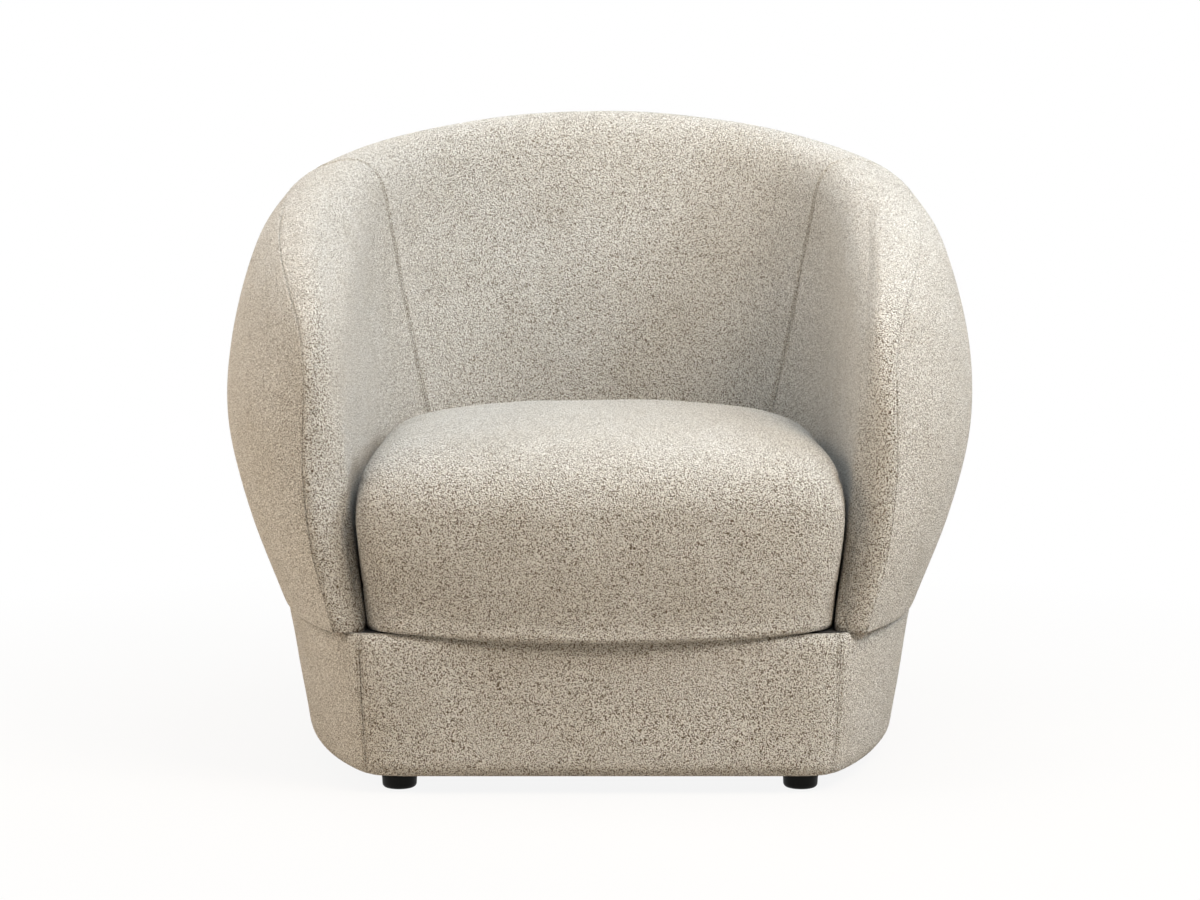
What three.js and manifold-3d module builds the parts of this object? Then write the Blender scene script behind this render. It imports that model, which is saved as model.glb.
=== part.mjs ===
// Tub chair: a ball-shaped upholstered tub on an upholstered plinth, with a loose seat cushion.
// Millimetres, +Z up, the chair faces -Y, left is -X.
import * as THREE from "three";
import { mergeVertices } from "three/addons/utils/BufferGeometryUtils.js";
import Module from "manifold-3d";

// Driving sizes
const inner_half_width = 269;
const side_wall_width = 114.1;
const back_wall_width = 161;
const belly_centre_y = 20;
const base_front_y = -402;
const inner_straight_end_y = -50;
const inner_rear_reach = 250;
const waist_z = 180;
const arm_front_rim_z = 542;
const back_rim_z = 753;
const back_crown = 16;
const arm_lean = 25;
const back_lean = 85;
const shoulder_drop = 22;
const inner_front_setback = 30;
const rim_front_setback = 2;
const rim_back_margin = 5;
const nose_run_out = 143;

const gap = 0.3;
const seam_draw = 2;
const cover_thickness = 12;
const front_edge_depth = 16;
const top_edge_depth = 26;
const arm_pad_depth = 28;
const back_pad_depth = 60;
const board_thickness = 3;
const top_rail_thickness = 12;
const plywood_thickness = 18;
const weld_distance = 0.0001;

const base_proud = 0.9;
const front_corner_inset = 120;
const base_rear_proud = 4;
const base_taper = 28;
const base_bottom_z = 20;
const base_edge_radius = 6;
const base_cover_thickness = 10;
const rail_thickness = 18;

const deck_pad_thickness = 22;
const deck_corner = 95;
const deck_clearance = 8;
const strap_width = 60;
const strap_thickness = 2;
const dust_cover_thickness = 2;
const arm_post_setback = 92;
const side_rib_setback = 40;

const foot_diameter = 40;
const foot_edge_radius = 5;
const front_foot_side_inset = 158;
const front_foot_inset = 46;
const rear_foot_side_inset = 184;
const rear_foot_inset = 130;
const screw_head_radius = 6;
const screw_shank_radius = 2.5;
const screw_head_height = 4;
const foot_screw_length = 45;
const floor_screw_length = 45;
const recess_depth = 8;

const cushion_squeeze = 1;
const cushion_overhang = 22.8;
const cushion_rear_clearance = 5;
const cushion_bottom_height = 122;
const cushion_top_height = 90;
const cushion_crown = 14;
const cushion_cover_thickness = 10;
const zip_half_length = 110;
const zip_height = 14;
const zip_pocket_depth = 12;
const zip_pocket_height = 44;
const zip_slider_length = 12;
const zip_slider_thickness = 4;
const zip_pull_length = 18;

// Hand-chosen shares
const run_share = [0, 0.08, 0.16, 0.22, 0.27, 0.32, 0.4, 0.52, 0.64, 0.76, 0.88, 1];
const waist_turn_share = [-0.458, -0.445, -0.42, -0.39, -0.35, -0.3, -0.21, -0.08, 0.07, 0.26, 0.6, 1];
const seam_turn_share = [-0.472, -0.498, -0.508, -0.492, -0.45, -0.385, -0.27, -0.1, 0.04, 0.22, 0.58, 1];
const seam_rise_share = [0, 0.27, 0.55, 0.75, 0.875, 0.935, 0.975, 0.995, 1, 1, 1, 1];
const edge_turn_share = [-1, -1, -1, -0.985, -0.93, -0.83, -0.54, -0.12, 0.08, 0.27, 0.62, 1];
const edge_rise_share = [0, 0.28, 0.56, 0.77, 0.9, 0.96, 1, 1, 1, 1, 1, 1];
const foot_turn_share = [-0.97, -0.92, -0.85, -0.78, -0.7, -0.6, -0.4, -0.02, 0.28, 0.6, 0.81, 1];
const belly_rise_share = [0, 0.087, 0.214, 0.342, 0.495, 0.72, 0.85, 0.92, 1];
const belly_width_share = [0.842, 0.876, 0.927, 0.968, 0.998, 0.982, 0.947, 0.916, 0.852];
const outer_steps_share = [0, 0.1, 0.22, 0.35, 0.5, 0.65, 0.79, 0.9, 1];
const rim_steps_share = [0, 0.2, 0.4, 0.6, 0.8, 1];
const inner_steps_share = [0, 0.12, 0.28, 0.46, 0.64, 0.82, 1];
const run_steps_share = [0, 0.05, 0.1, 0.15, 0.19, 0.23, 0.26, 0.29, 0.33, 0.38, 0.44, 0.52, 0.58, 0.64,
  0.7, 0.76, 0.82, 0.88, 0.94, 1];
const full_belly_share = 0.6;
const inner_seam_share = 0.76;
const outer_seam_share = 0.7;
const rim_start_pull_share = 0.42;
const rim_end_pull_share = 0.55;
const rim_chord_share = 0.6;
const nose_depth_share = 0.25;
const nose_end_share = 0.2;
const trim_limit_share = 0.35;
const rim_rise_bulge_share = 0.08;
const outer_roundness_share = 2.2;
const base_corner_power_share = 45;
const waist_roundness_share = 2.38;
const inner_roundness_share = 2.6;
const back_lean_power_share = 1.3;
const crown_power_share = 4;
const run_end_share = 2;
const skin_end_share = 3;
const level_share = 0.3;
const nose_level_share = 0.12;
const sample_share = 0.012;
const sample_step_share = 0.002;
const tiny_share = 0.000001;
const arm_pad_start_share = 0.3;
const arm_pad_grow_share = 0.2;
const back_pad_start_share = 0.6;
const back_pad_grow_share = 0.4;
const board_start_share = 0.15;
const top_rail_start_share = 0.38;
const top_rail_skin_shares = [1.2, 1.8];
const hollow_step_share = 0.01;
const floor_screw_turn_share = 0.52;
const floor_screw_rise_share = 0.88;
const foot_chamfer_share = 0.3;
const slider_shoulder_shares = [0.35, 0.65];
const back_rib_share = 0.41;
const corner_rib_turn_share = 0.25;
const round_facet_count = 16;
const foot_facet_count = 24;
const screw_facet_count = 12;
const cushion_facet_count = 44;

// Sizes worked out from the driving ones
const waist_half_width = inner_half_width + side_wall_width;
const belly_half_width = waist_half_width / belly_width_share[0];
const base_half_width = waist_half_width + base_proud;
const waist_back_y = inner_straight_end_y + inner_rear_reach + back_wall_width;
const rear_reach = (waist_back_y - belly_centre_y) / belly_width_share[0];
const base_rear_reach = waist_back_y - belly_centre_y + base_rear_proud;
const front_reach = belly_centre_y - base_front_y + nose_run_out;
const inner_front_y = base_front_y + inner_front_setback;
const rim_front_y = base_front_y + rim_front_setback;
const top_width_share = belly_width_share[belly_width_share.length - 1];
const rim_back_y = belly_centre_y + rear_reach * top_width_share + rim_back_margin;
const front_foot_x = base_half_width - front_foot_side_inset;
const front_foot_y = base_front_y + front_foot_inset;
const rear_foot_x = base_half_width - rear_foot_side_inset;
const rear_foot_y = belly_centre_y + base_rear_reach - rear_foot_inset;
const cushion_half_width = inner_half_width + cushion_squeeze;
const cushion_front_y = base_front_y - cushion_overhang;
const cushion_rear_reach = inner_rear_reach - cushion_rear_clearance;
const cushion_belly_z = waist_z + cushion_bottom_height;

// Small vector helpers
const minus = (a, b) => a.map((value, i) => value - b[i]);
const plus = (a, b, scale = 1) => a.map((value, i) => value + b[i] * scale);
const dot = (a, b) => a[0] * b[0] + a[1] * b[1] + a[2] * b[2];
const cross = (a, b) => [a[1] * b[2] - a[2] * b[1], a[2] * b[0] - a[0] * b[2], a[0] * b[1] - a[1] * b[0]];
const unit = (a) => a.map((value) => value / Math.hypot(...a));
const mix = (a, b, share) => a + (b - a) * share;
const clamp = (value) => Math.min(1, Math.max(0, value));
const ease = (value) => clamp(value) ** 2 * (3 - 2 * clamp(value));
const signedPower = (value, power) => Math.sign(value) * Math.abs(value) ** power;

// Natural cubic spline through a table of shares
function spline(knots, values) {
  const n = knots.length;
  const bend = new Array(n).fill(0);
  const carry = new Array(n).fill(0);
  for (let i = 1; i < n - 1; i += 1) {
    const before = knots[i] - knots[i - 1];
    const after = knots[i + 1] - knots[i];
    const slope = (values[i + 1] - values[i]) / after - (values[i] - values[i - 1]) / before;
    const pivot = 2 * (before + after) - before * carry[i - 1];
    carry[i] = after / pivot;
    bend[i] = (6 * slope - before * bend[i - 1]) / pivot;
  }
  for (let i = n - 2; i > 0; i -= 1) {
    bend[i] -= carry[i] * bend[i + 1];
  }
  return (at) => {
    let i = 0;
    while (i < n - 2 && at > knots[i + 1]) {
      i += 1;
    }
    const step = knots[i + 1] - knots[i];
    const b = (at - knots[i]) / step;
    const a = 1 - b;
    const curl = ((a ** 3 - a) * bend[i] + (b ** 3 - b) * bend[i + 1]) * step ** 2 / 6;
    return a * values[i] + b * values[i + 1] + curl;
  };
}

const waistTurn = spline(run_share, waist_turn_share);
const seamTurn = spline(run_share, seam_turn_share);
const seamRise = spline(run_share, seam_rise_share);
const edgeTurn = spline(run_share, edge_turn_share);
const edgeRise = spline(run_share, edge_rise_share);
const footTurn = spline(run_share, foot_turn_share);
const bellyWidth = spline(belly_rise_share, belly_width_share);

function rimHeight(y, angle) {
  const share = (y - rim_front_y) / (rim_back_y - rim_front_y);
  const lifted = share + rim_rise_bulge_share * share * (1 - share);
  const crown = back_crown * Math.max(Math.sin(angle), 0) ** crown_power_share;
  return mix(arm_front_rim_z, back_rim_z, lifted) + crown;
}

// Point of the round outside, by turn round the plan and rise from waist to rim
function outerPoint(turn, rise) {
  const angle = turn * Math.PI / 2;
  const width = bellyWidth(rise);
  const roundness = mix(waist_roundness_share, outer_roundness_share, ease(rise / full_belly_share));
  const across = signedPower(Math.cos(angle), 2 / roundness);
  const along = signedPower(Math.sin(angle), 2 / roundness);
  const y = belly_centre_y + along * (along < 0 ? front_reach : rear_reach * width);
  return [belly_half_width * width * across, y, mix(waist_z, rimHeight(y, angle), rise)];
}

// Point of the inside, straight along the arm for negative turns and round the back for positive ones
function innerPoint(turn, rise) {
  const angle = Math.max(turn, 0) * Math.PI / 2;
  const up = Math.max(rise, 0);
  const half = inner_half_width + arm_lean * up;
  const reach = inner_rear_reach + back_lean * up ** back_lean_power_share;
  const across = signedPower(Math.cos(angle), 2 / inner_roundness_share);
  const along = signedPower(Math.sin(angle), 2 / inner_roundness_share);
  const straight = Math.min(turn, 0) * (inner_straight_end_y - inner_front_y);
  const y = inner_straight_end_y + straight + reach * along;
  return [half * across, y, mix(waist_z, rimHeight(y, angle) - shoulder_drop, rise)];
}

function outerSkin(run, share) {
  const turn = mix(waistTurn(run), seamTurn(run), share);
  return outerPoint(turn, seamRise(run) * share);
}

function innerSkin(run, share) {
  const turn = mix(edgeTurn(run), footTurn(run), share);
  return innerPoint(turn, edgeRise(run) * (1 - share));
}

// Rim between the seam and the inner edge, one cubic curve for each place along the run
function rimSkin(run, share) {
  const step = sample_step_share;
  const seam = outerSkin(run, 1);
  const edge = innerSkin(run, 0);
  const along = unit(minus(outerSkin(run + step, 1), outerSkin(Math.max(run - step, 0), 1)));
  const rising = unit(minus(seam, outerSkin(run, 1 - step)));
  const leaving = unit(plus(rising, along, -dot(rising, along)));
  const chord = minus(edge, seam);
  const span = Math.hypot(...chord);
  const first = unit(plus(leaving, chord, rim_chord_share / span));
  const last = unit(minus(edge, innerSkin(run, step)));
  const b = plus(seam, first, span * rim_start_pull_share);
  const c = plus(edge, last, span * rim_end_pull_share);
  const s = share;
  const weights = [(1 - s) ** 3, 3 * s * (1 - s) ** 2, 3 * s ** 2 * (1 - s), s ** 3];
  return seam.map((value, i) => {
    return value * weights[0] + b[i] * weights[1] + c[i] * weights[2] + edge[i] * weights[3];
  });
}

// Whole skin: run 0 to 1 goes from the right arm front to the middle of the back, 1 to 2 to the left arm
// front; skin 0 to 1 is the outside, 1 to 2 the rim and 2 to 3 the inside
function skinPoint(run, skin) {
  if (run > 1) {
    const [x, y, z] = skinPoint(run_end_share - run, skin);
    return [-x, y, z];
  }
  if (skin <= 1) {
    return outerSkin(run, skin);
  }
  if (skin < 2) {
    return rimSkin(run, skin - 1);
  }
  return innerSkin(run, skin - 2);
}

function skinNormal(run, skin) {
  if (run > 1) {
    const [x, y, z] = skinNormal(run_end_share - run, skin);
    return [-x, y, z];
  }
  const near = sample_share * 2;
  const place = Math.max(run, near);
  const level = Math.min(Math.max(skin, sample_share + near), skin_end_share - sample_share - near);
  const runTo = place + sample_share;
  const runFrom = place - sample_share;
  const skinTo = level + near;
  const skinFrom = level - near;
  const along = minus(skinPoint(runTo, level), skinPoint(runFrom, level));
  const up = minus(skinPoint(place, skinTo), skinPoint(place, skinFrom));
  const normal = unit(cross(along, up));
  const ends = Math.min(ease(skin / level_share), ease((skin_end_share - skin) / level_share));
  const flat = Math.min(ends, ease(run / nose_level_share));
  return unit([run === 1 ? 0 : normal[0], normal[1], normal[2] * flat]);
}

// Depth of the upholstery below the skin
function padDepth(run, skin) {
  const place = run > 1 ? run_end_share - run : run;
  const slim = mix(nose_depth_share, 1, ease(place / nose_end_share));
  const grown = ease((place - arm_pad_start_share) / arm_pad_grow_share);
  const edge = mix(front_edge_depth, top_edge_depth, grown);
  const arm = mix(front_edge_depth, arm_pad_depth, grown);
  const pad = mix(arm, back_pad_depth, ease((place - back_pad_start_share) / back_pad_grow_share));
  if (skin <= 1) {
    return cover_thickness * slim;
  }
  if (skin < 2) {
    return mix(cover_thickness, edge, ease(skin - 1)) * slim;
  }
  return mix(edge, pad, ease((skin - 2) * 2)) * slim;
}

function underSkin(run, skin, depth) {
  return plus(skinPoint(run, skin), skinNormal(run, skin), -depth);
}

// Materials
function material(color, roughness, metalness = 0) {
  return new THREE.MeshStandardMaterial({ color, roughness, metalness });
}

const fabric = material(0xcbc3b4, 0.95);
const lining = material(0x2b2a29, 0.9);
const foam = material(0xe7ddb8, 0.9);
const webbing = material(0x57534c, 0.85);
const plywood = material(0xc49a66, 0.7);
const board = material(0x8a6a47, 0.8);
const black = material(0x14130f, 0.5);
const steel = material(0xb4b6ba, 0.35, 1);
const nickel = material(0xa9a59b, 0.4, 1);

const chair = new THREE.Group();
chair.name = "tub_chair";

function add(name, geometry, look) {
  const mesh = new THREE.Mesh(geometry, look);
  mesh.name = name;
  chair.add(mesh);
  return mesh;
}

function geometryOf(points, faces) {
  const geometry = new THREE.BufferGeometry();
  geometry.setAttribute("position", new THREE.Float32BufferAttribute(points.flat(), 3));
  geometry.setIndex(faces.flat());
  return geometry;
}

// Closed solid between two grids of points; each grid is rows of the same length
function between(outside, inside) {
  const rows = outside.length;
  const columns = outside[0].length;
  const points = [...outside.flat(), ...inside.flat()];
  const half = rows * columns;
  const at = (i, j, side) => side * half + i * columns + j;
  const faces = [];
  const quad = (a, b, c, d) => faces.push([a, b, c], [a, c, d]);
  for (let i = 0; i < rows - 1; i += 1) {
    for (let j = 0; j < columns - 1; j += 1) {
      const corners = [[i, j], [i + 1, j], [i + 1, j + 1], [i, j + 1]];
      quad(...corners.map(([a, b]) => at(a, b, 0)));
      faces.push([at(i, j, 1), at(i + 1, j + 1, 1), at(i + 1, j, 1)]);
      faces.push([at(i, j, 1), at(i, j + 1, 1), at(i + 1, j + 1, 1)]);
    }
  }
  for (let i = 0; i < rows - 1; i += 1) {
    quad(at(i, 0, 0), at(i, 0, 1), at(i + 1, 0, 1), at(i + 1, 0, 0));
    quad(at(i, columns - 1, 0), at(i + 1, columns - 1, 0), at(i + 1, columns - 1, 1), at(i, columns - 1, 1));
  }
  for (let j = 0; j < columns - 1; j += 1) {
    quad(at(0, j, 0), at(0, j + 1, 0), at(0, j + 1, 1), at(0, j, 1));
    quad(at(rows - 1, j, 0), at(rows - 1, j, 1), at(rows - 1, j + 1, 1), at(rows - 1, j + 1, 0));
  }
  return geometryOf(points, faces);
}

// Pulls the four edges of a grid in by half a gap, so that neighbours keep one gap
function trimmed(grid, half = gap / 2) {
  const towards = (from, to) => {
    const step = minus(to, from);
    return plus(from, step, Math.min(half / Math.hypot(...step), trim_limit_share));
  };
  const shorter = grid.map((row) => {
    const last = row.length - 1;
    return row.map((point, j) => {
      if (j === 0) {
        return towards(point, row[1]);
      }
      return j === last ? towards(point, row[last - 1]) : point;
    });
  });
  const end = shorter.length - 1;
  return shorter.map((row, i) => row.map((point, j) => {
    if (i === 0) {
      return towards(point, shorter[1][j]);
    }
    return i === end ? towards(point, shorter[end - 1][j]) : point;
  }));
}

const mirrored_steps_share = run_steps_share.slice(0, -1).reverse().map((share) => run_end_share - share);
const runSteps = [...run_steps_share, ...mirrored_steps_share];
const skinSteps = [
  ...outer_steps_share,
  ...rim_steps_share.slice(1).map((share) => 1 + share),
  ...inner_steps_share.slice(1).map((share) => 2 + share),
];

function within(steps, from, to) {
  return steps.filter((step) => step > from - tiny_share && step < to + tiny_share);
}

function patch(name, look, runs, skins, outerDepth, innerDepth) {
  const rows = within(runSteps, ...runs);
  const columns = within(skinSteps, ...skins);
  const layer = (depth, half) => trimmed(rows.map((run) => columns.map((skin) => {
    return underSkin(run, skin, depth(run, skin));
  })), half);
  return add(name, between(layer(outerDepth, gap / 2), layer(innerDepth, seam_draw)), look);
}

const none = () => 0;
const outerSeams = [outer_seam_share, run_end_share - outer_seam_share];
const innerSeams = [inner_seam_share, run_end_share - inner_seam_share];

patch("outside_arm_cover_right", fabric, [0, outerSeams[0]], [0, 1], none, padDepth);
patch("outside_arm_cover_left", fabric, [outerSeams[1], run_end_share], [0, 1], none, padDepth);
patch("outside_back_cover", fabric, outerSeams, [0, 1], none, padDepth);
patch("inside_arm_pad_right", fabric, [0, innerSeams[0]], [1, skin_end_share], none, padDepth);
patch("inside_arm_pad_left", fabric, [innerSeams[1], run_end_share], [1, skin_end_share], none, padDepth);
patch("inside_back_pad", fabric, innerSeams, [1, skin_end_share], none, padDepth);

const boardTop = (run, skin) => padDepth(run, skin) + gap;
const boardUnder = (run, skin) => boardTop(run, skin) + board_thickness;
const boardEnds = [board_start_share, run_end_share - board_start_share];
patch("side_board_right", board, [boardEnds[0], outerSeams[0]], [0, 1], boardTop, boardUnder);
patch("side_board_left", board, [outerSeams[1], boardEnds[1]], [0, 1], boardTop, boardUnder);
patch("back_board", board, outerSeams, [0, 1], boardTop, boardUnder);

const railUnder = (run, skin) => boardTop(run, skin) + top_rail_thickness;
const railEnds = [top_rail_start_share, run_end_share - top_rail_start_share];
patch("arm_top_rail_right", plywood, [railEnds[0], innerSeams[0]], top_rail_skin_shares, boardTop, railUnder);
patch("arm_top_rail_left", plywood, [innerSeams[1], railEnds[1]], top_rail_skin_shares, boardTop, railUnder);
patch("back_top_rail", plywood, innerSeams, top_rail_skin_shares, boardTop, railUnder);

// Solid geometry joined and cut with exact booleans
const wasm = await Module();
wasm.setup();

function manifoldOf(geometry) {
  const plain = geometry.clone();
  plain.deleteAttribute("normal");
  plain.deleteAttribute("uv");
  const merged = mergeVertices(plain, weld_distance);
  return new wasm.Manifold(new wasm.Mesh({
    numProp: 3,
    vertProperties: new Float32Array(merged.attributes.position.array),
    triVerts: new Uint32Array(merged.index.array),
  }));
}

function geometryFrom(manifold) {
  const mesh = manifold.getMesh();
  const geometry = new THREE.BufferGeometry();
  const places = new Float32Array(mesh.vertProperties);
  geometry.setAttribute("position", new THREE.BufferAttribute(places, 3));
  geometry.setIndex(new THREE.BufferAttribute(new Uint32Array(mesh.triVerts), 1));
  return geometry;
}

function block(from, to) {
  const size = minus(to, from);
  const geometry = new THREE.BoxGeometry(...size);
  geometry.translate(...plus(from, size, 0.5));
  return geometry;
}

function round(radius, from, to, x, y, facets = round_facet_count) {
  const geometry = new THREE.CylinderGeometry(radius, radius, to - from, facets);
  geometry.rotateX(Math.PI / 2);
  geometry.translate(x, y, (from + to) / 2);
  return geometry;
}

// Hollow of the tub wall under pads, boards and top rails
function hollowDepth(run, skin) {
  const place = run > 1 ? run_end_share - run : run;
  const clear = padDepth(run, skin) + gap;
  if (skin <= 1) {
    return clear + (place > board_start_share - hollow_step_share ? board_thickness + gap : 0);
  }
  const [from, to] = top_rail_skin_shares;
  const above = skin > from - hollow_step_share && skin < to + hollow_step_share;
  if (above && place > top_rail_start_share - hollow_step_share) {
    return clear + top_rail_thickness + 2 * gap;
  }
  return clear;
}

function hollowSolid() {
  const rows = runSteps.map((run) => skinSteps.map((skin) => underSkin(run, skin, hollowDepth(run, skin))));
  const columns = skinSteps.length;
  const points = rows.flat();
  const faces = [];
  const at = (i, j) => i * columns + j;
  for (let i = 0; i < rows.length - 1; i += 1) {
    for (let j = 0; j < columns - 1; j += 1) {
      faces.push([at(i, j), at(i + 1, j), at(i + 1, j + 1)]);
      faces.push([at(i, j), at(i + 1, j + 1), at(i, j + 1)]);
    }
    faces.push([at(i, 0), at(i, columns - 1), at(i + 1, columns - 1)]);
    faces.push([at(i, 0), at(i + 1, columns - 1), at(i + 1, 0)]);
  }
  const end = rows.length - 1;
  for (let j = 1; j < columns - 1; j += 1) {
    faces.push([at(0, 0), at(0, j), at(0, j + 1)]);
    faces.push([at(end, 0), at(end, j + 1), at(end, j)]);
  }
  return manifoldOf(geometryOf(points, faces));
}

const hollow = hollowSolid();
const far = belly_half_width * 2;
const ring_bottom_z = waist_z + gap / 2;
const ring_top_z = ring_bottom_z + plywood_thickness;
const rib_bottom_z = ring_top_z + gap;

// Base outline by angle from the front, at a rise share from bottom to waist
const base_rise_share = [0, 0.04, 0.12, 0.5, 0.88, 0.96, 1];
const base_inset_share = [1, 0.3, 0, 0, 0, 0.25, 0.9];
const baseInset = spline(base_rise_share, base_inset_share);

function basePoint(angle, rise, height = waist_z - gap / 2) {
  const inset = base_edge_radius * baseInset(rise);
  const half = base_half_width - base_taper * (1 - rise) - inset;
  const rear = base_rear_reach - base_taper * (1 - rise) - inset;
  const across = Math.abs(Math.sin(angle));
  const ahead = Math.cos(angle);
  const reach = ahead > 0 ? front_reach : rear;
  const power = outer_roundness_share;
  const roundRadius = ((across / half) ** power + (Math.abs(ahead) / reach) ** power) ** (-1 / power);
  const flat = Math.max(ahead, 0) / (belly_centre_y - base_front_y - inset);
  const corner = base_corner_power_share;
  const radius = roundRadius * ((flat * roundRadius) ** corner + 1) ** (-1 / corner);
  const x = radius * Math.sin(angle);
  return [x, belly_centre_y - radius * ahead, mix(base_bottom_z, height, rise)];
}

function baseUnder(angle, rise, depth) {
  const step = sample_share;
  const along = minus(basePoint(angle + step, rise), basePoint(angle - step, rise));
  const inward = unit([-along[1], along[0], 0]);
  return plus(basePoint(angle, rise), inward, depth);
}

// Base panels between two angles from the front, seen as angle shares of half a turn
const front_corner_turn = Math.atan2(base_half_width - front_corner_inset, belly_centre_y - base_front_y);
const front_corner_share = front_corner_turn / Math.PI;
const rear_corner_share = 0.83;
const side_steps_share = [0, 0.05, 0.1, 0.17, 0.26, 0.36, 0.46, 0.57, 0.68, 0.79, 0.9, 1];
const cross_steps_share = [0, 0.25, 0.5, 0.75, 1];
const left_steps_share = side_steps_share.map((share) => 1 - share).reverse();

function basePatch(name, look, from, to, stepsShare, rises, outerDepth, innerDepth) {
  const rows = stepsShare.map((share) => mix(from, to, share) * Math.PI);
  const layer = (depth, half) => trimmed(rows.map((angle) => {
    return rises.map((rise) => baseUnder(angle, rise, depth));
  }), half);
  return add(name, between(layer(outerDepth, gap / 2), layer(innerDepth, seam_draw)), look);
}

const coverPanels = [
  ["base_front_cover", -front_corner_share, front_corner_share, cross_steps_share],
  ["base_right_cover", front_corner_share, rear_corner_share, side_steps_share],
  ["base_left_cover", -rear_corner_share, -front_corner_share, left_steps_share],
  ["base_back_cover", rear_corner_share, run_end_share - rear_corner_share, side_steps_share],
];
coverPanels.forEach(([name, from, to, steps]) => {
  basePatch(name, fabric, from, to, steps, base_rise_share, 0, base_cover_thickness);
});

const railTop = base_cover_thickness + gap;
const railBack = railTop + rail_thickness;

// Inside space of the base behind the rails, used to shape what stands in it
function baseInside(depth) {
  const turns = coverPanels.flatMap(([, from, to, steps]) => {
    return steps.slice(0, -1).map((share) => mix(from, to, share) * Math.PI);
  }).sort((a, b) => a - b);
  const points = [0, 1].flatMap((rise) => turns.map((angle) => baseUnder(angle, rise, depth)));
  const count = turns.length;
  const faces = [];
  turns.forEach((unused, i) => {
    const next = (i + 1) % count;
    faces.push([i, next, count + next], [i, count + next, count + i]);
    if (i > 0 && i < count - 1) {
      faces.push([0, i + 1, i], [count, count + i, count + i + 1]);
    }
  });
  return manifoldOf(geometryOf(points, faces));
}

const floor_z = base_bottom_z + gap + dust_cover_thickness + gap;
const strap_z = waist_z - deck_pad_thickness - gap;
const sideRails = [
  ["side_rail_right", front_corner_share, rear_corner_share],
  ["side_rail_left", -rear_corner_share, -front_corner_share],
];

function railSolid(from, to, stepsShare, rises) {
  const rows = stepsShare.map((share) => mix(from, to, share) * Math.PI);
  const layer = (depth, half) => trimmed(rows.map((angle) => {
    return rises.map((rise) => baseUnder(angle, rise, depth));
  }), half);
  return manifoldOf(between(layer(railTop, gap / 2), layer(railBack, seam_draw)));
}

function riseAt(z) {
  return (z - base_bottom_z) / (waist_z - gap / 2 - base_bottom_z);
}

const low_rise = riseAt(floor_z);
const strap_rise = riseAt(strap_z - strap_thickness - gap);
const fullRise = [low_rise, ...base_rise_share.slice(3, 5), 1];
const lowRise = [low_rise, base_rise_share[3], strap_rise];

// Screws from the tub floor into the side rails
const floorScrews = [-1, 1].map((side) => {
  const turn = side * floor_screw_turn_share * Math.PI;
  const [x, y] = baseUnder(turn, floor_screw_rise_share, railTop + rail_thickness / 2);
  return [side < 0 ? "left" : "right", x, y];
});

function drilled(solid, holes) {
  return holes.reduce((rest, hole) => rest.subtract(manifoldOf(hole)), solid);
}

const floorHoles = floorScrews.map(([, x, y]) => {
  return round(screw_shank_radius + gap, ring_top_z - floor_screw_length - gap, far, x, y);
});
const floorHeads = floorScrews.map(([, x, y]) => {
  return round(screw_head_radius + gap, ring_top_z - screw_head_height - gap, far, x, y);
});

sideRails.forEach(([name, from, to]) => {
  const steps = from < 0 ? left_steps_share : side_steps_share;
  add(name, geometryFrom(drilled(railSolid(from, to, steps, fullRise), floorHoles)), plywood);
});
const frontRail = railSolid(-front_corner_share, front_corner_share, cross_steps_share, lowRise);
add("front_rail", geometryFrom(frontRail), plywood);
const rearRail = railSolid(rear_corner_share, run_end_share - rear_corner_share, side_steps_share, fullRise);
add("rear_rail", geometryFrom(rearRail), plywood);

// Cross rail under the front of the inner back, battens along the sides and the straps they carry
const inside = baseInside(railBack + gap);
const front_rail_back_y = base_front_y + railBack;
const cross_rail_y = inner_straight_end_y + inner_rear_reach;
const batten_x = inner_half_width;
const cross_rail_top_z = strap_z - strap_thickness - gap;
const cross_rail_back_y = cross_rail_y + rail_thickness;
const crossRail = block([-far, cross_rail_y, floor_z], [far, cross_rail_back_y, cross_rail_top_z]);
add("cross_rail", geometryFrom(manifoldOf(crossRail).intersect(inside)), plywood);
[-1, 1].forEach((side) => {
  const edges = [side * batten_x, side * (batten_x + rail_thickness)].sort((a, b) => a - b);
  const top = strap_z - 2 * (strap_thickness + gap);
  const from = [edges[0], front_rail_back_y + gap, top - 2 * rail_thickness];
  const batten = manifoldOf(block(from, [edges[1], cross_rail_y - gap, top])).intersect(inside);
  add(`side_batten_${side < 0 ? "left" : "right"}`, geometryFrom(batten), plywood);
});

const strap_place_shares = [-0.72, -0.24, 0.24, 0.72];
strap_place_shares.forEach((share, i) => {
  const x = share * inner_half_width;
  const from = [x - strap_width / 2, front_rail_back_y - rail_thickness / 2, strap_z - strap_thickness];
  const to = [x + strap_width / 2, cross_rail_back_y, strap_z];
  add(`seat_strap_${i + 1}`, block(from, to), webbing);
});
const cross_place_shares = [0.3, 0.68];
cross_place_shares.forEach((share, i) => {
  const y = mix(front_rail_back_y, cross_rail_y, share);
  const reach = batten_x + rail_thickness;
  const top = strap_z - strap_thickness - gap;
  const from = [-reach, y - strap_width / 2, top - strap_thickness];
  add(`cross_strap_${i + 1}`, block(from, [reach, y + strap_width / 2, top]), webbing);
});

// Deck pad on the straps, shaped like the inside of the tub
function plate(points, from, to) {
  const shape = new THREE.Shape(points.map(([x, y]) => new THREE.Vector2(x, y)));
  const geometry = new THREE.ExtrudeGeometry(shape, { depth: to - from, bevelEnabled: false });
  geometry.translate(0, 0, from);
  return geometry;
}

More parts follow.
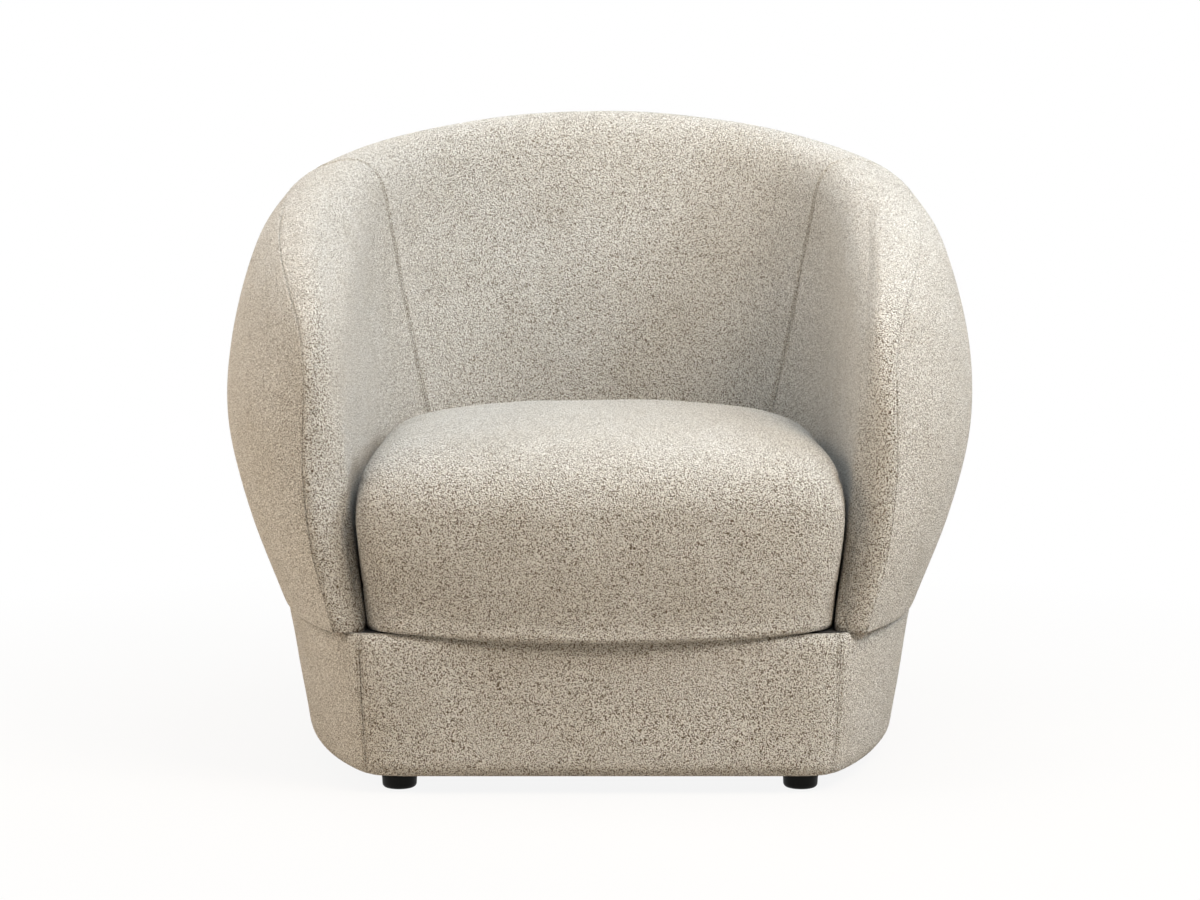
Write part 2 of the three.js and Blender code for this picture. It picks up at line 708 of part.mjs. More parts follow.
const deckHalf = batten_x + rail_thickness;
const deckFront = base_front_y + railTop + deck_clearance;
const deck_rise = riseAt(strap_z + gap);
const deckEdge = side_steps_share.map((share) => {
  const angle = mix(front_corner_share, rear_corner_share, share) * Math.PI;
  const [x, y] = baseUnder(angle, deck_rise, railBack + base_edge_radius);
  return [Math.min(x, deckHalf), y];
});
const deckCorner = deckEdge.find(([, y]) => y > cross_rail_back_y);
const deckSide = [
  [deckHalf - deck_corner, deckFront],
  ...deckEdge.filter(([, y]) => y > deckFront + deck_corner / 2 && y < cross_rail_back_y),
  [deckCorner[0], cross_rail_back_y],
];
const deckPoints = [...deckSide, ...deckSide.map(([x, y]) => [-x, y]).reverse()];
add("seat_deck_pad", plate(deckPoints, strap_z + gap, waist_z - gap), lining);

// Corner blocks, feet, their screws and the dust cover
const feet = [
  ["front_left", -front_foot_x, front_foot_y],
  ["front_right", front_foot_x, front_foot_y],
  ["rear_left", -rear_foot_x, rear_foot_y],
  ["rear_right", rear_foot_x, rear_foot_y],
];
const footRadius = foot_diameter / 2;

function turned(outline, x, y, facets) {
  const geometry = new THREE.LatheGeometry(outline.map(([a, b]) => new THREE.Vector2(a, b)), facets);
  geometry.rotateX(Math.PI / 2);
  geometry.translate(x, y, 0);
  return geometry;
}

const foot_hole_top_z = foot_screw_length + recess_depth + gap;
const footHoles = feet.map(([, x, y]) => {
  return round(screw_shank_radius + gap, -far, foot_hole_top_z, x, y, screw_facet_count);
});

feet.forEach(([place, x, y]) => {
  const reach = foot_diameter;
  const front = y < 0 ? front_rail_back_y + gap : cross_rail_back_y + gap;
  const from = [x - reach, front, floor_z];
  const blockTop = foot_screw_length + recess_depth + foot_diameter;
  const to = [x + reach, front + 2 * reach, blockTop];
  const corner = manifoldOf(block(from, to)).intersect(inside);
  add(`corner_block_${place}`, geometryFrom(drilled(corner, footHoles)), plywood);
  const top = base_bottom_z - gap / 2;
  const clear = screw_shank_radius + gap;
  const head = screw_head_radius + gap;
  const chamfer = foot_edge_radius * foot_chamfer_share;
  const outline = [[clear, top], [clear, recess_depth + gap], [head, recess_depth + gap], [head, 0],
    [footRadius - foot_edge_radius, 0], [footRadius - chamfer, chamfer],
    [footRadius, foot_edge_radius], [footRadius, top], [clear, top]];
  add(`foot_${place}`, turned(outline, x, y, foot_facet_count), black);
  const low = recess_depth - screw_head_height;
  const tip = recess_depth + foot_screw_length;
  const screwOutline = [[0, low], [screw_head_radius, low], [screw_head_radius, recess_depth],
    [screw_shank_radius, recess_depth], [screw_shank_radius, tip], [0, tip]];
  add(`foot_screw_${place}`, turned(screwOutline, x, y, screw_facet_count), steel);
});

const underside = baseInside(base_cover_thickness + gap);
const sheetTop = base_bottom_z + gap + dust_cover_thickness;
const sheet = manifoldOf(block([-far, -far, base_bottom_z + gap], [far, far, sheetTop])).intersect(underside);
add("dust_cover", geometryFrom(drilled(sheet, footHoles)), lining);

floorScrews.forEach(([side, x, y]) => {
  const top = ring_top_z;
  const low = top - floor_screw_length;
  const outline = [[0, low], [screw_shank_radius, low], [screw_shank_radius, top - screw_head_height],
    [screw_head_radius, top - screw_head_height], [screw_head_radius, top], [0, top]];
  add(`floor_screw_${side}`, turned(outline, x, y, screw_facet_count), steel);
});

// Floor ring and ribs of the tub, cut out of the hollow of its wall
const ring_front_y = inner_front_y - cover_thickness / 2;
const ring = manifoldOf(block([-far, ring_front_y, ring_bottom_z], [far, far, ring_top_z])).intersect(hollow);
add("tub_floor_ring", geometryFrom(drilled(drilled(ring, floorHoles), floorHeads)), plywood);

function slab(x, y, angle, reach) {
  const geometry = new THREE.BoxGeometry(reach, plywood_thickness, far);
  geometry.translate(reach / 2, 0, far / 2 + rib_bottom_z);
  geometry.rotateZ(angle);
  geometry.translate(x, y, 0);
  return geometry;
}

const corner_turn = corner_rib_turn_share * Math.PI;
const ribs = [
  ["arm_post", 0, base_front_y + arm_post_setback, 0, Math.PI],
  ["side_rib", 0, inner_straight_end_y - side_rib_setback, 0, Math.PI],
  ["corner_rib", 0, belly_centre_y, corner_turn, Math.PI - corner_turn],
  ["back_rib", inner_half_width * back_rib_share, belly_centre_y, Math.PI / 2, Math.PI / 2],
];
ribs.forEach(([name, x, y, rightAngle, leftAngle]) => {
  const right = manifoldOf(slab(x, y, rightAngle, far)).intersect(hollow);
  const left = manifoldOf(slab(-x, y, leftAngle, far)).intersect(hollow);
  add(`${name}_right`, geometryFrom(right), plywood);
  add(`${name}_left`, geometryFrom(left), plywood);
});
const middleRib = manifoldOf(slab(0, belly_centre_y, Math.PI / 2, far)).intersect(hollow);
add("back_rib_middle", geometryFrom(middleRib), plywood);

// Cushion: crowned body of plan outlines from the top middle to the bottom middle
const cushion_front_power_share = 11;
const cushion_bow_share = 0.2;
const cushion_top_round_share = 0.45;
const cushion_low_round_share = 0.22;
const cushion_rear_power_share = 2.6;
const cushion_top_share = [0, 0.3, 0.55, 0.72, 0.84, 0.92, 0.97, 1];
const cushion_low_share = [0.995, 0.98, 0.95, 0.88, 0.5, 0];
const cushion_top_power_share = 7;
const cushion_low_power_share = 20;

function cushionPoint(angle, share, lower, inset) {
  const half = cushion_half_width - inset;
  const across = Math.sin(angle);
  const ahead = Math.cos(angle);
  const bowed = (inner_straight_end_y - cushion_front_y) * (1 - cushion_bow_share * across ** 2);
  const reach = (ahead > 0 ? bowed : cushion_rear_reach) - inset;
  const power = ahead > 0 ? cushion_front_power_share : cushion_rear_power_share;
  const radius = (Math.abs(across / half) ** power + Math.abs(ahead / reach) ** power) ** (-1 / power);
  const domeShare = (1 - share ** cushion_top_power_share) ** cushion_top_round_share;
  const bowlShare = (1 - share ** cushion_low_power_share) ** cushion_low_round_share;
  const dome = (cushion_top_height - inset) * domeShare + cushion_crown * (1 - share ** 2);
  const bowl = (cushion_bottom_height - inset) * bowlShare;
  const z = cushion_belly_z + (lower ? -bowl : dome);
  return [radius * share * across, inner_straight_end_y - radius * share * ahead, z];
}

function cushionBody(inset) {
  const count = cushion_facet_count;
  const turns = Array.from({ length: count }, (unused, i) => ((i * 2 + 1) / count) * Math.PI);
  const ring = (share, lower) => turns.map((angle) => cushionPoint(angle, share, lower, inset));
  const rings = [
    ...cushion_top_share.slice(1).map((share) => ring(share, false)),
    ...cushion_low_share.slice(0, -1).map((share) => ring(share, true)),
  ];
  const points = [...rings.flat(), cushionPoint(0, 0, false, inset), cushionPoint(0, 0, true, inset)];
  const top = points.length - 2;
  const bottom = points.length - 1;
  const at = (ringAt, i) => ringAt * count + (i % count);
  const faces = [];
  turns.forEach((unused, i) => {
    faces.push([top, at(0, i), at(0, i + 1)]);
    rings.slice(1).forEach((ringPoints, ringAt) => {
      faces.push([at(ringAt, i), at(ringAt + 1, i), at(ringAt + 1, i + 1)]);
      faces.push([at(ringAt, i), at(ringAt + 1, i + 1), at(ringAt, i + 1)]);
    });
    faces.push([bottom, at(rings.length - 1, i + 1), at(rings.length - 1, i)]);
  });
  return manifoldOf(geometryOf(points, faces));
}

const cushionRear = inner_straight_end_y + cushion_rear_reach;
const pocketY = cushionRear - zip_pocket_depth;
const zipTop = cushion_belly_z + zip_height / 2;
const pocketHalf = zip_half_length + zip_slider_length;
const pocketTop = zipTop + 2 * gap;
const pocket = block([-pocketHalf, pocketY, pocketTop - zip_pocket_height], [pocketHalf, far, pocketTop]);
const slit = block([-zip_half_length, pocketY - far / 4, zipTop - zip_height],
  [zip_half_length, far, zipTop]);
const coreBack = pocketY - zip_slider_thickness;
const behindCore = manifoldOf(block([-far, coreBack, -far], [far, far, far]));
const behindCover = manifoldOf(block([-far, coreBack + gap, -far], [far, far, far]));
const core = cushionBody(cushion_cover_thickness + gap).subtract(behindCore);
const shell = cushionBody(0).subtract(cushionBody(cushion_cover_thickness).subtract(behindCover));
const cover = shell.subtract(manifoldOf(pocket)).subtract(manifoldOf(slit));
add("cushion_cover", geometryFrom(cover), fabric);
add("cushion_foam_core", geometryFrom(core), foam);
const tapeLow = [-zip_half_length + gap, coreBack + 2 * gap, zipTop - zip_height + gap];
const tapeHigh = [zip_half_length - gap, pocketY - gap, zipTop - gap];
add("zip_tape", block(tapeLow, tapeHigh), webbing);
const sliderTop = zipTop - zip_height / 4;
const [pullLeft, pullRight] = slider_shoulder_shares.map((share) => share * zip_slider_length);
const sliderPoints = [[0, 0], [zip_slider_length, 0], [zip_slider_length, zip_height / 2],
  [pullRight, zip_height / 2], [pullRight, zip_pull_length], [pullLeft, zip_pull_length],
  [pullLeft, zip_height / 2], [0, zip_height / 2]];
const slider = plate(sliderPoints, 0, zip_slider_thickness);
slider.rotateX(-Math.PI / 2);
slider.translate(zip_slider_thickness - zip_half_length, pocketY + gap, sliderTop);
add("zip_slider", slider, nickel);

// The middle of the whole box stands over the origin
const whole = new THREE.Box3().setFromObject(chair);
chair.children.forEach((mesh) => mesh.geometry.translate(0, -(whole.min.y + whole.max.y) / 2, 0));

export default chair;
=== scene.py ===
import math

import bmesh
import bpy
import numpy as np
from bpy.props import FloatProperty, FloatVectorProperty, IntProperty, PointerProperty
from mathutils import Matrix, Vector


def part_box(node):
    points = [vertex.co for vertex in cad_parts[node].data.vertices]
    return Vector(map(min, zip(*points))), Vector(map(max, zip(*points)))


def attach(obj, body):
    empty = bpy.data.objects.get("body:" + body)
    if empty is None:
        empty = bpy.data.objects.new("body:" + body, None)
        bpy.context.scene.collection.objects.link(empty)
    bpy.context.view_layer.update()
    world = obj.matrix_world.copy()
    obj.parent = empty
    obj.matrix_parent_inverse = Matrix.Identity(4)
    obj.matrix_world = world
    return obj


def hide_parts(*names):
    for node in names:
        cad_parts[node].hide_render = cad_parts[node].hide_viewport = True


bl_info = {
    "name": "Tub chair upholstery",
    "version": (1, 0, 0),
    "blender": (4, 5, 0),
    "location": "View3D > Sidebar > Tub chair",
    "description": "Dresses the frame of a round tub chair with looped yarn covers and a loose seat cushion",
    "category": "Object",
}

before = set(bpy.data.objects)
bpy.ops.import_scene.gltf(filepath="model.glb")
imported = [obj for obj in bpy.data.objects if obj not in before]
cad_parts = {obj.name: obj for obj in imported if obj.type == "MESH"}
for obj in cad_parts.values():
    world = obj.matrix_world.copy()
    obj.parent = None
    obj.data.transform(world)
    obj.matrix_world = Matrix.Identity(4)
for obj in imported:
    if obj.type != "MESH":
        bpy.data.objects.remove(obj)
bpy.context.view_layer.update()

# Shares of the tub by run from the arm front, 0, to the middle of the back, 1
RUN = (0, 0.08, 0.16, 0.22, 0.27, 0.32, 0.4, 0.52, 0.64, 0.76, 0.88, 1)
WAIST_TURN = (-0.458, -0.445, -0.42, -0.39, -0.35, -0.3, -0.21, -0.08, 0.07, 0.26, 0.6, 1)
SEAM_TURN = (-0.472, -0.498, -0.508, -0.492, -0.45, -0.385, -0.27, -0.1, 0.04, 0.22, 0.58, 1)
SEAM_RISE = (0, 0.27, 0.55, 0.75, 0.875, 0.935, 0.975, 0.995, 1, 1, 1, 1)
EDGE_TURN = (-1, -1, -1, -0.985, -0.93, -0.83, -0.54, -0.12, 0.08, 0.27, 0.62, 1)
EDGE_RISE = (0, 0.28, 0.56, 0.77, 0.9, 0.96, 1, 1, 1, 1, 1, 1)
FOOT_TURN = (-0.97, -0.92, -0.85, -0.78, -0.7, -0.6, -0.4, -0.02, 0.28, 0.6, 0.81, 1)
BELLY_RISE = (0, 0.087, 0.214, 0.342, 0.495, 0.72, 0.85, 0.92, 1)
BELLY_WIDTH = (0.842, 0.876, 0.927, 0.968, 0.998, 0.982, 0.947, 0.916, 0.852)
BASE_RISE = (0, 0.04, 0.12, 0.5, 0.88, 0.96, 1)
BASE_INSET = (1, 0.3, 0, 0, 0, 0.25, 0.9)
INNER_SEAM = 0.76
OUTER_SEAM = 0.7
FRONT_CORNER = 0.182
REAR_CORNER = 0.83
# Rim curve: its lean over the edge at the seam and the pulls of its two ends, as shares of the chord
RIM_LEAN, SEAM_PULL, EDGE_PULL = 0.6, 0.42, 0.55
# Soft inner edge: rim length over its chord, smaller share of the softness at the back, most of a reach
RIM_ARC, BACK_SOFTNESS, REACH_LIMIT = 1.15, 0.3, 0.95
# Sewing and small parts: lengths in metres, with a weight, a power and a count among them
PUCKER_PITCH, PUCKER_DEPTH = 0.009, 0.00022
FURROW_WIDTH, FURROW_DEPTH = 0.0011, 0.0009
STITCH = (0.0046, 0.0036, 0.0004)
PANEL_WAVES, CUSHION_WAVES = 0.0011, 0.0016
BOXING_SEAMS, BOXING_WIDTH = (0.045, -0.07), 0.0022
CROWD_WEIGHT, CROWD_WIDTH = 3.0, 0.006
LIP_RADIUS, LIP_POWER, SAG_HALF_WIDTH = 0.0145, 2.6, 0.24
SLOT_HALF_LENGTH, SLOT_HALF_HEIGHT, SLOT_DEPTH = 0.116, 0.0085, 0.010
TOOTH_PITCH = 0.0021
STAPLES = 64


def metres(name, description, default):
    """A length in metres, shown in the scene's own unit."""
    return FloatProperty(name=name, description=description, default=default, precision=4, subtype="DISTANCE",
                         unit="LENGTH")


def share(name, description, default):
    """A plain number, such as a share or a power."""
    return FloatProperty(name=name, description=description, default=default, precision=3)


def watts(name, description, default):
    """The power of a lamp."""
    return FloatProperty(name=name, description=description, default=default, unit="POWER")


def tint(name, description, default):
    """A linear colour."""
    return FloatVectorProperty(name=name, description=description, default=default, size=3, min=0, max=1,
                               subtype="COLOR")


class TubSizes(bpy.types.PropertyGroup):
    """Sizes of the round tub."""

    belly_half_width: metres("Belly half width", "Half of the tub's greatest width", 0.455)
    belly_centre: metres("Belly centre", "How far behind the middle the round outside has its centre", 0.02)
    front_reach: metres("Front reach", "Reach of the full round outside in front of its centre", 0.565)
    rear_reach: metres("Rear reach", "Reach of the round outside behind its centre", 0.405)
    waist_height: metres("Waist height", "Height of the crease between tub and base", 0.18)
    arm_rim_height: metres("Arm rim height", "Height of the rim at the arm front", 0.542)
    back_rim_height: metres("Back rim height", "Height of the rim at the back", 0.753)
    back_crown: metres("Back crown", "Extra height in the middle of the back", 0.016)
    rim_front: metres("Rim front", "Where the rim starts, along Y", -0.4)
    rim_back: metres("Rim back", "Where the rim ends, along Y", 0.37)
    rim_bulge: share("Rim bulge", "How much the rim line bulges between arm and back", 0.08)
    outer_roundness: share("Outer roundness", "Power of the rounded plan at the belly", 2.2)
    waist_roundness: share("Waist roundness", "Power of the rounded plan at the waist", 2.38)
    inner_half_width: metres("Inner half width", "Half of the seat's width at the waist", 0.269)
    inner_straight_end: metres("Inner straight end", "Where the inside starts to curve, along Y", -0.05)
    inner_front: metres("Inner front", "Where the inside of the arm starts, along Y", -0.372)
    inner_rear_reach: metres("Inner rear reach", "Reach of the inner curve at the waist", 0.25)
    inner_roundness: share("Inner roundness", "Power of the inner plan", 2.6)
    arm_lean: metres("Arm lean", "How far the inner arm leans out at the top", 0.025)
    back_lean: metres("Back lean", "How far the inner back leans back at the top", 0.085)
    shoulder_drop: metres("Shoulder drop", "How far the inner edge lies below the rim", 0.022)
    cover_thickness: metres("Cover thickness", "Thickness of a sewn cover with its wadding", 0.0065)
    seam_radius: metres("Seam radius", "How far from a seam the cover starts to roll in", 0.0055)
    seam_depth: metres("Seam depth", "How deep a seam lies", 0.0018)
    softness: metres("Softness", "How far around it the padding rounds off the inner edge", 0.065)
    cheek: metres("Cheek", "How far the arm pads bulge in beside the lower front of the cushion", 0.008)
    waist_radius: metres("Waist radius", "Roll of the arm front where it meets the base", 0.014)
    needle_gap: metres("Needle gap", "Distance from a seam to each row of topstitching", 0.0035)


class BaseSizes(bpy.types.PropertyGroup):
    """Sizes of the covered base and of what it stands on."""

    half_width: metres("Base half width", "Half of the base's width at the waist", 0.384)
    front: metres("Base front", "Front face of the base, along Y", -0.402)
    rear_reach: metres("Base rear reach", "Reach of the base behind the belly centre", 0.345)
    taper: metres("Base taper", "How much the base draws in towards its bottom", 0.028)
    bottom: metres("Base bottom", "Height of the base's lower edge", 0.02)
    edge_radius: metres("Base edge radius", "Rounding of the base's edges", 0.006)
    corner_power: share("Base corner power", "How tightly the front corners turn", 45)
    top_roll: metres("Top roll", "Roll of the base's upper edge", 0.009)
    cover_reach: metres("Cover reach", "How far the front cover wraps back over the base", 0.0155)
    deck_corner: metres("Deck corner", "Width of the cut-off front corners of the deck pad", 0.095)
    deck_corner_rise: metres("Deck corner rise", "Depth of the cut-off front corners of the deck pad", 0.0834)
    foot_radius: metres("Foot radius", "Radius of a foot", 0.02)
    foot_edge: metres("Foot edge", "Rounding of a foot's lower edge", 0.005)


class CushionSizes(bpy.types.PropertyGroup):
    """Sizes of the loose seat cushion."""

    half_width: metres("Cushion half width", "Half of the cushion's width", 0.279)
    front: metres("Cushion front", "Front of the cushion, along Y", -0.4248)
    rear_reach: metres("Cushion rear reach", "Reach of the cushion behind the straight arms", 0.245)
    belly: metres("Cushion belly", "Height of the cushion's widest line", 0.302)
    top_height: metres("Top height", "Rise of the cushion's shoulder above its belly", 0.09)
    crown: metres("Crown", "Extra rise in the middle", 0.014)
    front_power: share("Front power", "How square the front corners are", 15)
    rear_power: share("Rear power", "How square the rear corners are", 2.6)
    bow: share("Bow", "How much the front bows forward in the middle", 0.06)
    top_power: share("Top power", "How late the top starts to fall", 11)
    top_round: share("Top rounding", "How round the shoulder is", 0.4)
    top_draw: share("Top draw", "How much more the front falls back above its widest line", -0.5)
    low_power: share("Low power", "How late the bottom starts to rise", 60)
    low_round: share("Low rounding", "How round the lower edge is", 0.5)
    low_taper: share("Low taper", "How much the sides draw in towards the bottom", 0.025)
    low_draw: share("Low draw", "How much less the front falls back below its widest line", 0.75)
    spread: metres("Spread", "How far the front corners spread out in front of the arms", 0.005)
    corner_fill: metres("Corner fill", "How far the filling pushes the lower edge out", 0.009)
    tuck: metres("Tuck", "How far the lower part of the front draws back", 0.011)
    sag: metres("Sag", "How far the front edge sags over the base", 0.009)
    swell: metres("Swell", "The furthest that filling pushes the cover out", 0.009)
    pressure: share("Pressure", "Air pressure that stands in for the filling", 4)
    rings: IntProperty(name="Rings", description="Grid rings from the middle to the widest line", default=66,
                       min=12)


class YarnLook(bpy.types.PropertyGroup):
    """Colours and scale of the looped yarn cover."""

    pale: tint("Pale loops", "Colour of the loop tops", (0.87, 0.855, 0.812))
    middle: tint("Middle yarn", "Colour of the yarn between", (0.60, 0.545, 0.455))
    # Painted shade: the deep colour stands in for the shade in the hollows between loops and is the tone of
    # the painted seam shade.
    deep: tint("Deep yarn", "Colour in the hollows between loops", (0.115, 0.08, 0.047))
    loop_size: metres("Loop size", "Width of one loop of yarn", 0.00118)
    relief: metres("Relief", "Height of the loops", 0.0008)


class StudioLook(bpy.types.PropertyGroup):
    """Strength of the lamps and place of the camera."""

    top: watts("Top light", "Power of the cool light overhead", 58)
    left: watts("Left light", "Power of the warm light at the left", 52)
    key: watts("Key light", "Power of the cool light high at the right", 44)
    front: watts("Front light", "Power of the warm light high in front", 50)
    rear: watts("Rear light", "Power of the light behind", 28)
    cool: tint("Cool light", "Colour of the cool lights", (0.86, 0.94, 1.0))
    warm: tint("Warm light", "Colour of the warm lights", (1.0, 0.85, 0.68))
    ambient: share("Ambient", "Strength of the light from all round", 0.05)
    camera_distance: metres("Camera distance", "How far in front the camera stands", 3.495)
    camera_height: metres("Camera height", "Height of the camera", 0.678)
    camera_pitch: FloatProperty(name="Camera pitch", description="How far the camera looks down",
                                default=math.radians(5.4), subtype="ANGLE", unit="ROTATION")
    lens: FloatProperty(name="Lens", description="Focal length on a 36 mm sensor", default=84.8,
                        unit="CAMERA")


def mix(a, b, part):
    """The straight mix of a and b."""
    return a + (b - a) * part


def ease(value):
    """Smooth step: three times the square minus twice the cube, kept between 0 and 1."""
    held = np.clip(value, 0, 1)
    return held * held * (3 - 2 * held)


def fade_in(value, start, width):
    """Smooth step of a value: 0 up to the start and 1 from one width beyond it."""
    return ease((value - start) / width)


def fade_out(value, end, width):
    """Smooth step turned round: 1 up to one width before the end and 0 beyond the end."""
    return ease((end - value) / width)


def signed_power(value, power):
    """Power of the size of value, with its sign kept."""
    return np.sign(value) * np.abs(value) ** power


def unit(vectors):
    """Vectors divided by their length."""
    return vectors / np.maximum(np.linalg.norm(vectors, axis=-1, keepdims=True), 1e-12)


def folded(run):
    """Run with its mirror image laid back: beyond the middle of the back it falls from 1 to 0 again."""
    return np.where(run > 1, 2 - run, run)


def spline(knots, values):
    """Natural cubic spline: the bends at the knots solve the usual three-term equations with none at the
    ends, and between two knots the value is the straight mix plus the two cubic curls that the bends ask for.
    """
    at, height = np.asarray(knots, float), np.asarray(values, float)
    step = np.diff(at)
    size = len(at)
    system, wanted = np.eye(size), np.zeros(size)
    inner = np.arange(1, size - 1)
    system[inner, inner - 1] = step[:-1]
    system[inner, inner] = 2 * (step[:-1] + step[1:])
    system[inner, inner + 1] = step[1:]
    wanted[inner] = 6 * np.diff(np.diff(height) / step)
    bend = np.linalg.solve(system, wanted)

    def value(x):
        i = np.clip(np.searchsorted(at, x) - 1, 0, size - 2)
        b = (x - at[i]) / step[i]
        a = 1 - b
        curl = ((a ** 3 - a) * bend[i] + (b ** 3 - b) * bend[i + 1]) * step[i] ** 2 / 6
        return a * height[i] + b * height[i + 1] + curl

    return value


waist_turn, seam_turn, seam_rise = spline(RUN, WAIST_TURN), spline(RUN, SEAM_TURN), spline(RUN, SEAM_RISE)
edge_turn, edge_rise, foot_turn = spline(RUN, EDGE_TURN), spline(RUN, EDGE_RISE), spline(RUN, FOOT_TURN)
belly_width, base_inset = spline(BELLY_RISE, BELLY_WIDTH), spline(BASE_RISE, BASE_INSET)


def rim_height(tub, y, angle):
    """Height of the rim: the mix of arm and back heights along Y with a parabola on it, and the fourth power
    of the sine of the angle for the crown of the back."""
    part = (y - tub.rim_front) / (tub.rim_back - tub.rim_front)
    lifted = part + tub.rim_bulge * part * (1 - part)
    crown = tub.back_crown * np.maximum(np.sin(angle), 0) ** 4
    return mix(tub.arm_rim_height, tub.back_rim_height, lifted) + crown


def outer_point(tub, turn, rise):
    """Round outside: a superellipse in plan whose width follows the belly table as the point rises."""
    angle = turn * np.pi / 2
    width = belly_width(rise)
    roundness = mix(tub.waist_roundness, tub.outer_roundness, ease(rise / 0.6))
    across = signed_power(np.cos(angle), 2 / roundness)
    along = signed_power(np.sin(angle), 2 / roundness)
    y = tub.belly_centre + along * np.where(along < 0, tub.front_reach, tub.rear_reach * width)
    z = mix(tub.waist_height, rim_height(tub, y, angle), rise)
    return np.stack([tub.belly_half_width * width * across, y, z], -1)


def inner_point(tub, turn, rise):
    """Inside: straight along the arm for turns below 0, and a quarter of a superellipse round the back above
    0, wider and deeper as the point rises."""
    angle = np.maximum(turn, 0) * np.pi / 2
    up = np.maximum(rise, 0)
    half = tub.inner_half_width + tub.arm_lean * up
    reach = tub.inner_rear_reach + tub.back_lean * up ** 1.3
    across = signed_power(np.cos(angle), 2 / tub.inner_roundness)
    along = signed_power(np.sin(angle), 2 / tub.inner_roundness)
    straight = np.minimum(turn, 0) * (tub.inner_straight_end - tub.inner_front)
    y = tub.inner_straight_end + straight + reach * along
    z = mix(tub.waist_height, rim_height(tub, y, angle) - tub.shoulder_drop, rise)
    return np.stack([half * across, y, z], -1)


def outer_skin(tub, run, part):
    """Outside from the waist, part 0, to the rim seam, part 1."""
    return outer_point(tub, mix(waist_turn(run), seam_turn(run), part), seam_rise(run) * part)


def inner_skin(tub, run, part):
    """Inside from the edge of the rim, part 0, down to the waist, part 1."""
    return inner_point(tub, mix(edge_turn(run), foot_turn(run), part), edge_rise(run) * (1 - part))


def rim_skin(tub, run, part):
    """Padded rim: a cubic curve from the seam to the inner edge, which leaves the seam on the outside's slope
    and reaches the edge on the inside's slope."""
    step = 0.002
    seam, edge = outer_skin(tub, run, 1 + 0 * run), inner_skin(tub, run, 0 * run)
    ahead = outer_skin(tub, run + step, 1 + 0 * run)
    along = unit(ahead - outer_skin(tub, np.maximum(run - step, 0), 1 + 0 * run))
    rising = unit(seam - outer_skin(tub, run, 1 - step + 0 * run))
    leaving = unit(rising - along * np.sum(rising * along, -1, keepdims=True))
    chord = edge - seam
    span = np.linalg.norm(chord, axis=-1, keepdims=True)
    first = unit(leaving + chord * RIM_LEAN / span)
    last = unit(edge - inner_skin(tub, run, step + 0 * run))
    b, c = seam + first * span * SEAM_PULL, edge + last * span * EDGE_PULL
    s = part[..., None]
    return seam * (1 - s) ** 3 + b * 3 * s * (1 - s) ** 2 + c * 3 * s ** 2 * (1 - s) + edge * s ** 3


def firm_point(tub, run, skin):
    """Whole skin of the tub. Run 0 to 1 goes from the right arm front to the middle of the back and 1 to 2 is
    its mirror image; skin 0 to 1 is the outside, 1 to 2 the rim and 2 to 3 the inside."""
    near = folded(run)
    outside = outer_skin(tub, near, np.minimum(skin, 1))
    rim = rim_skin(tub, near, np.clip(skin - 1, 0, 1))
    inside = inner_skin(tub, near, np.clip(skin - 2, 0, 1))
    level = skin[..., None]
    point = np.where(level <= 1, outside, np.where(level < 2, rim, inside))
    point[..., 0] *= np.where(run > 1, -1, 1)
    return point


def skin_point(tub, run, skin):
    """Skin with a soft inner edge: past the rim seam a point becomes the mean of its surroundings along the
    skin, by five-point Gauss rule, over a reach that shrinks to nothing at the seam and at the waist."""
    run, skin = np.broadcast_arrays(run, skin)
    point = firm_point(tub, run, skin)
    soft = skin > 1
    if not soft.any():
        return point
    along, place = run[soft], skin[soft]
    near = folded(along)
    seam, edge = outer_skin(tub, near, 1 + 0 * near), inner_skin(tub, near, 0 * near)
    rim = RIM_ARC * np.linalg.norm(edge - seam, axis=-1)
    wall = np.linalg.norm(inner_skin(tub, near, 1 + 0 * near) - edge, axis=-1) + 1e-6
    walked_to = np.minimum(place - 1, 1) * rim + np.maximum(place - 2, 0) * wall
    reach = tub.softness * mix(BACK_SOFTNESS, 1.0, fade_out(near, 0.8, 0.3))
    reach = np.minimum(np.minimum(reach, REACH_LIMIT * walked_to), REACH_LIMIT * (rim + wall - walked_to))
    total = 0
    for step, weight in zip(*np.polynomial.legendre.leggauss(5)):
        spot = walked_to + step * reach
        level = 1 + np.minimum(spot / rim, 1) + np.maximum(spot - rim, 0) / wall
        total = total + weight / 2 * firm_point(tub, along, level)
    point[soft] = total
    return point


def skin_normal(tub, run, skin):
    """Outward direction of the skin from central differences, laid level towards the waist so that the lower
    edges stay at one height."""
    near = folded(run)
    place = np.maximum(near, 0.024)
    level = np.clip(skin, 0.036, 2.964)
    along = skin_point(tub, place + 0.012, level) - skin_point(tub, place - 0.012, level)
    up = skin_point(tub, place, level + 0.024) - skin_point(tub, place, level - 0.024)
    normal = unit(np.cross(along, up))
    flat = np.minimum(np.minimum(fade_in(skin, 0, 0.3), fade_out(skin, 3, 0.3)), fade_in(near, 0, 0.12))
    normal[..., 2] *= flat
    normal[..., 0] *= np.where(run > 1, -1, 1)
    return unit(normal)


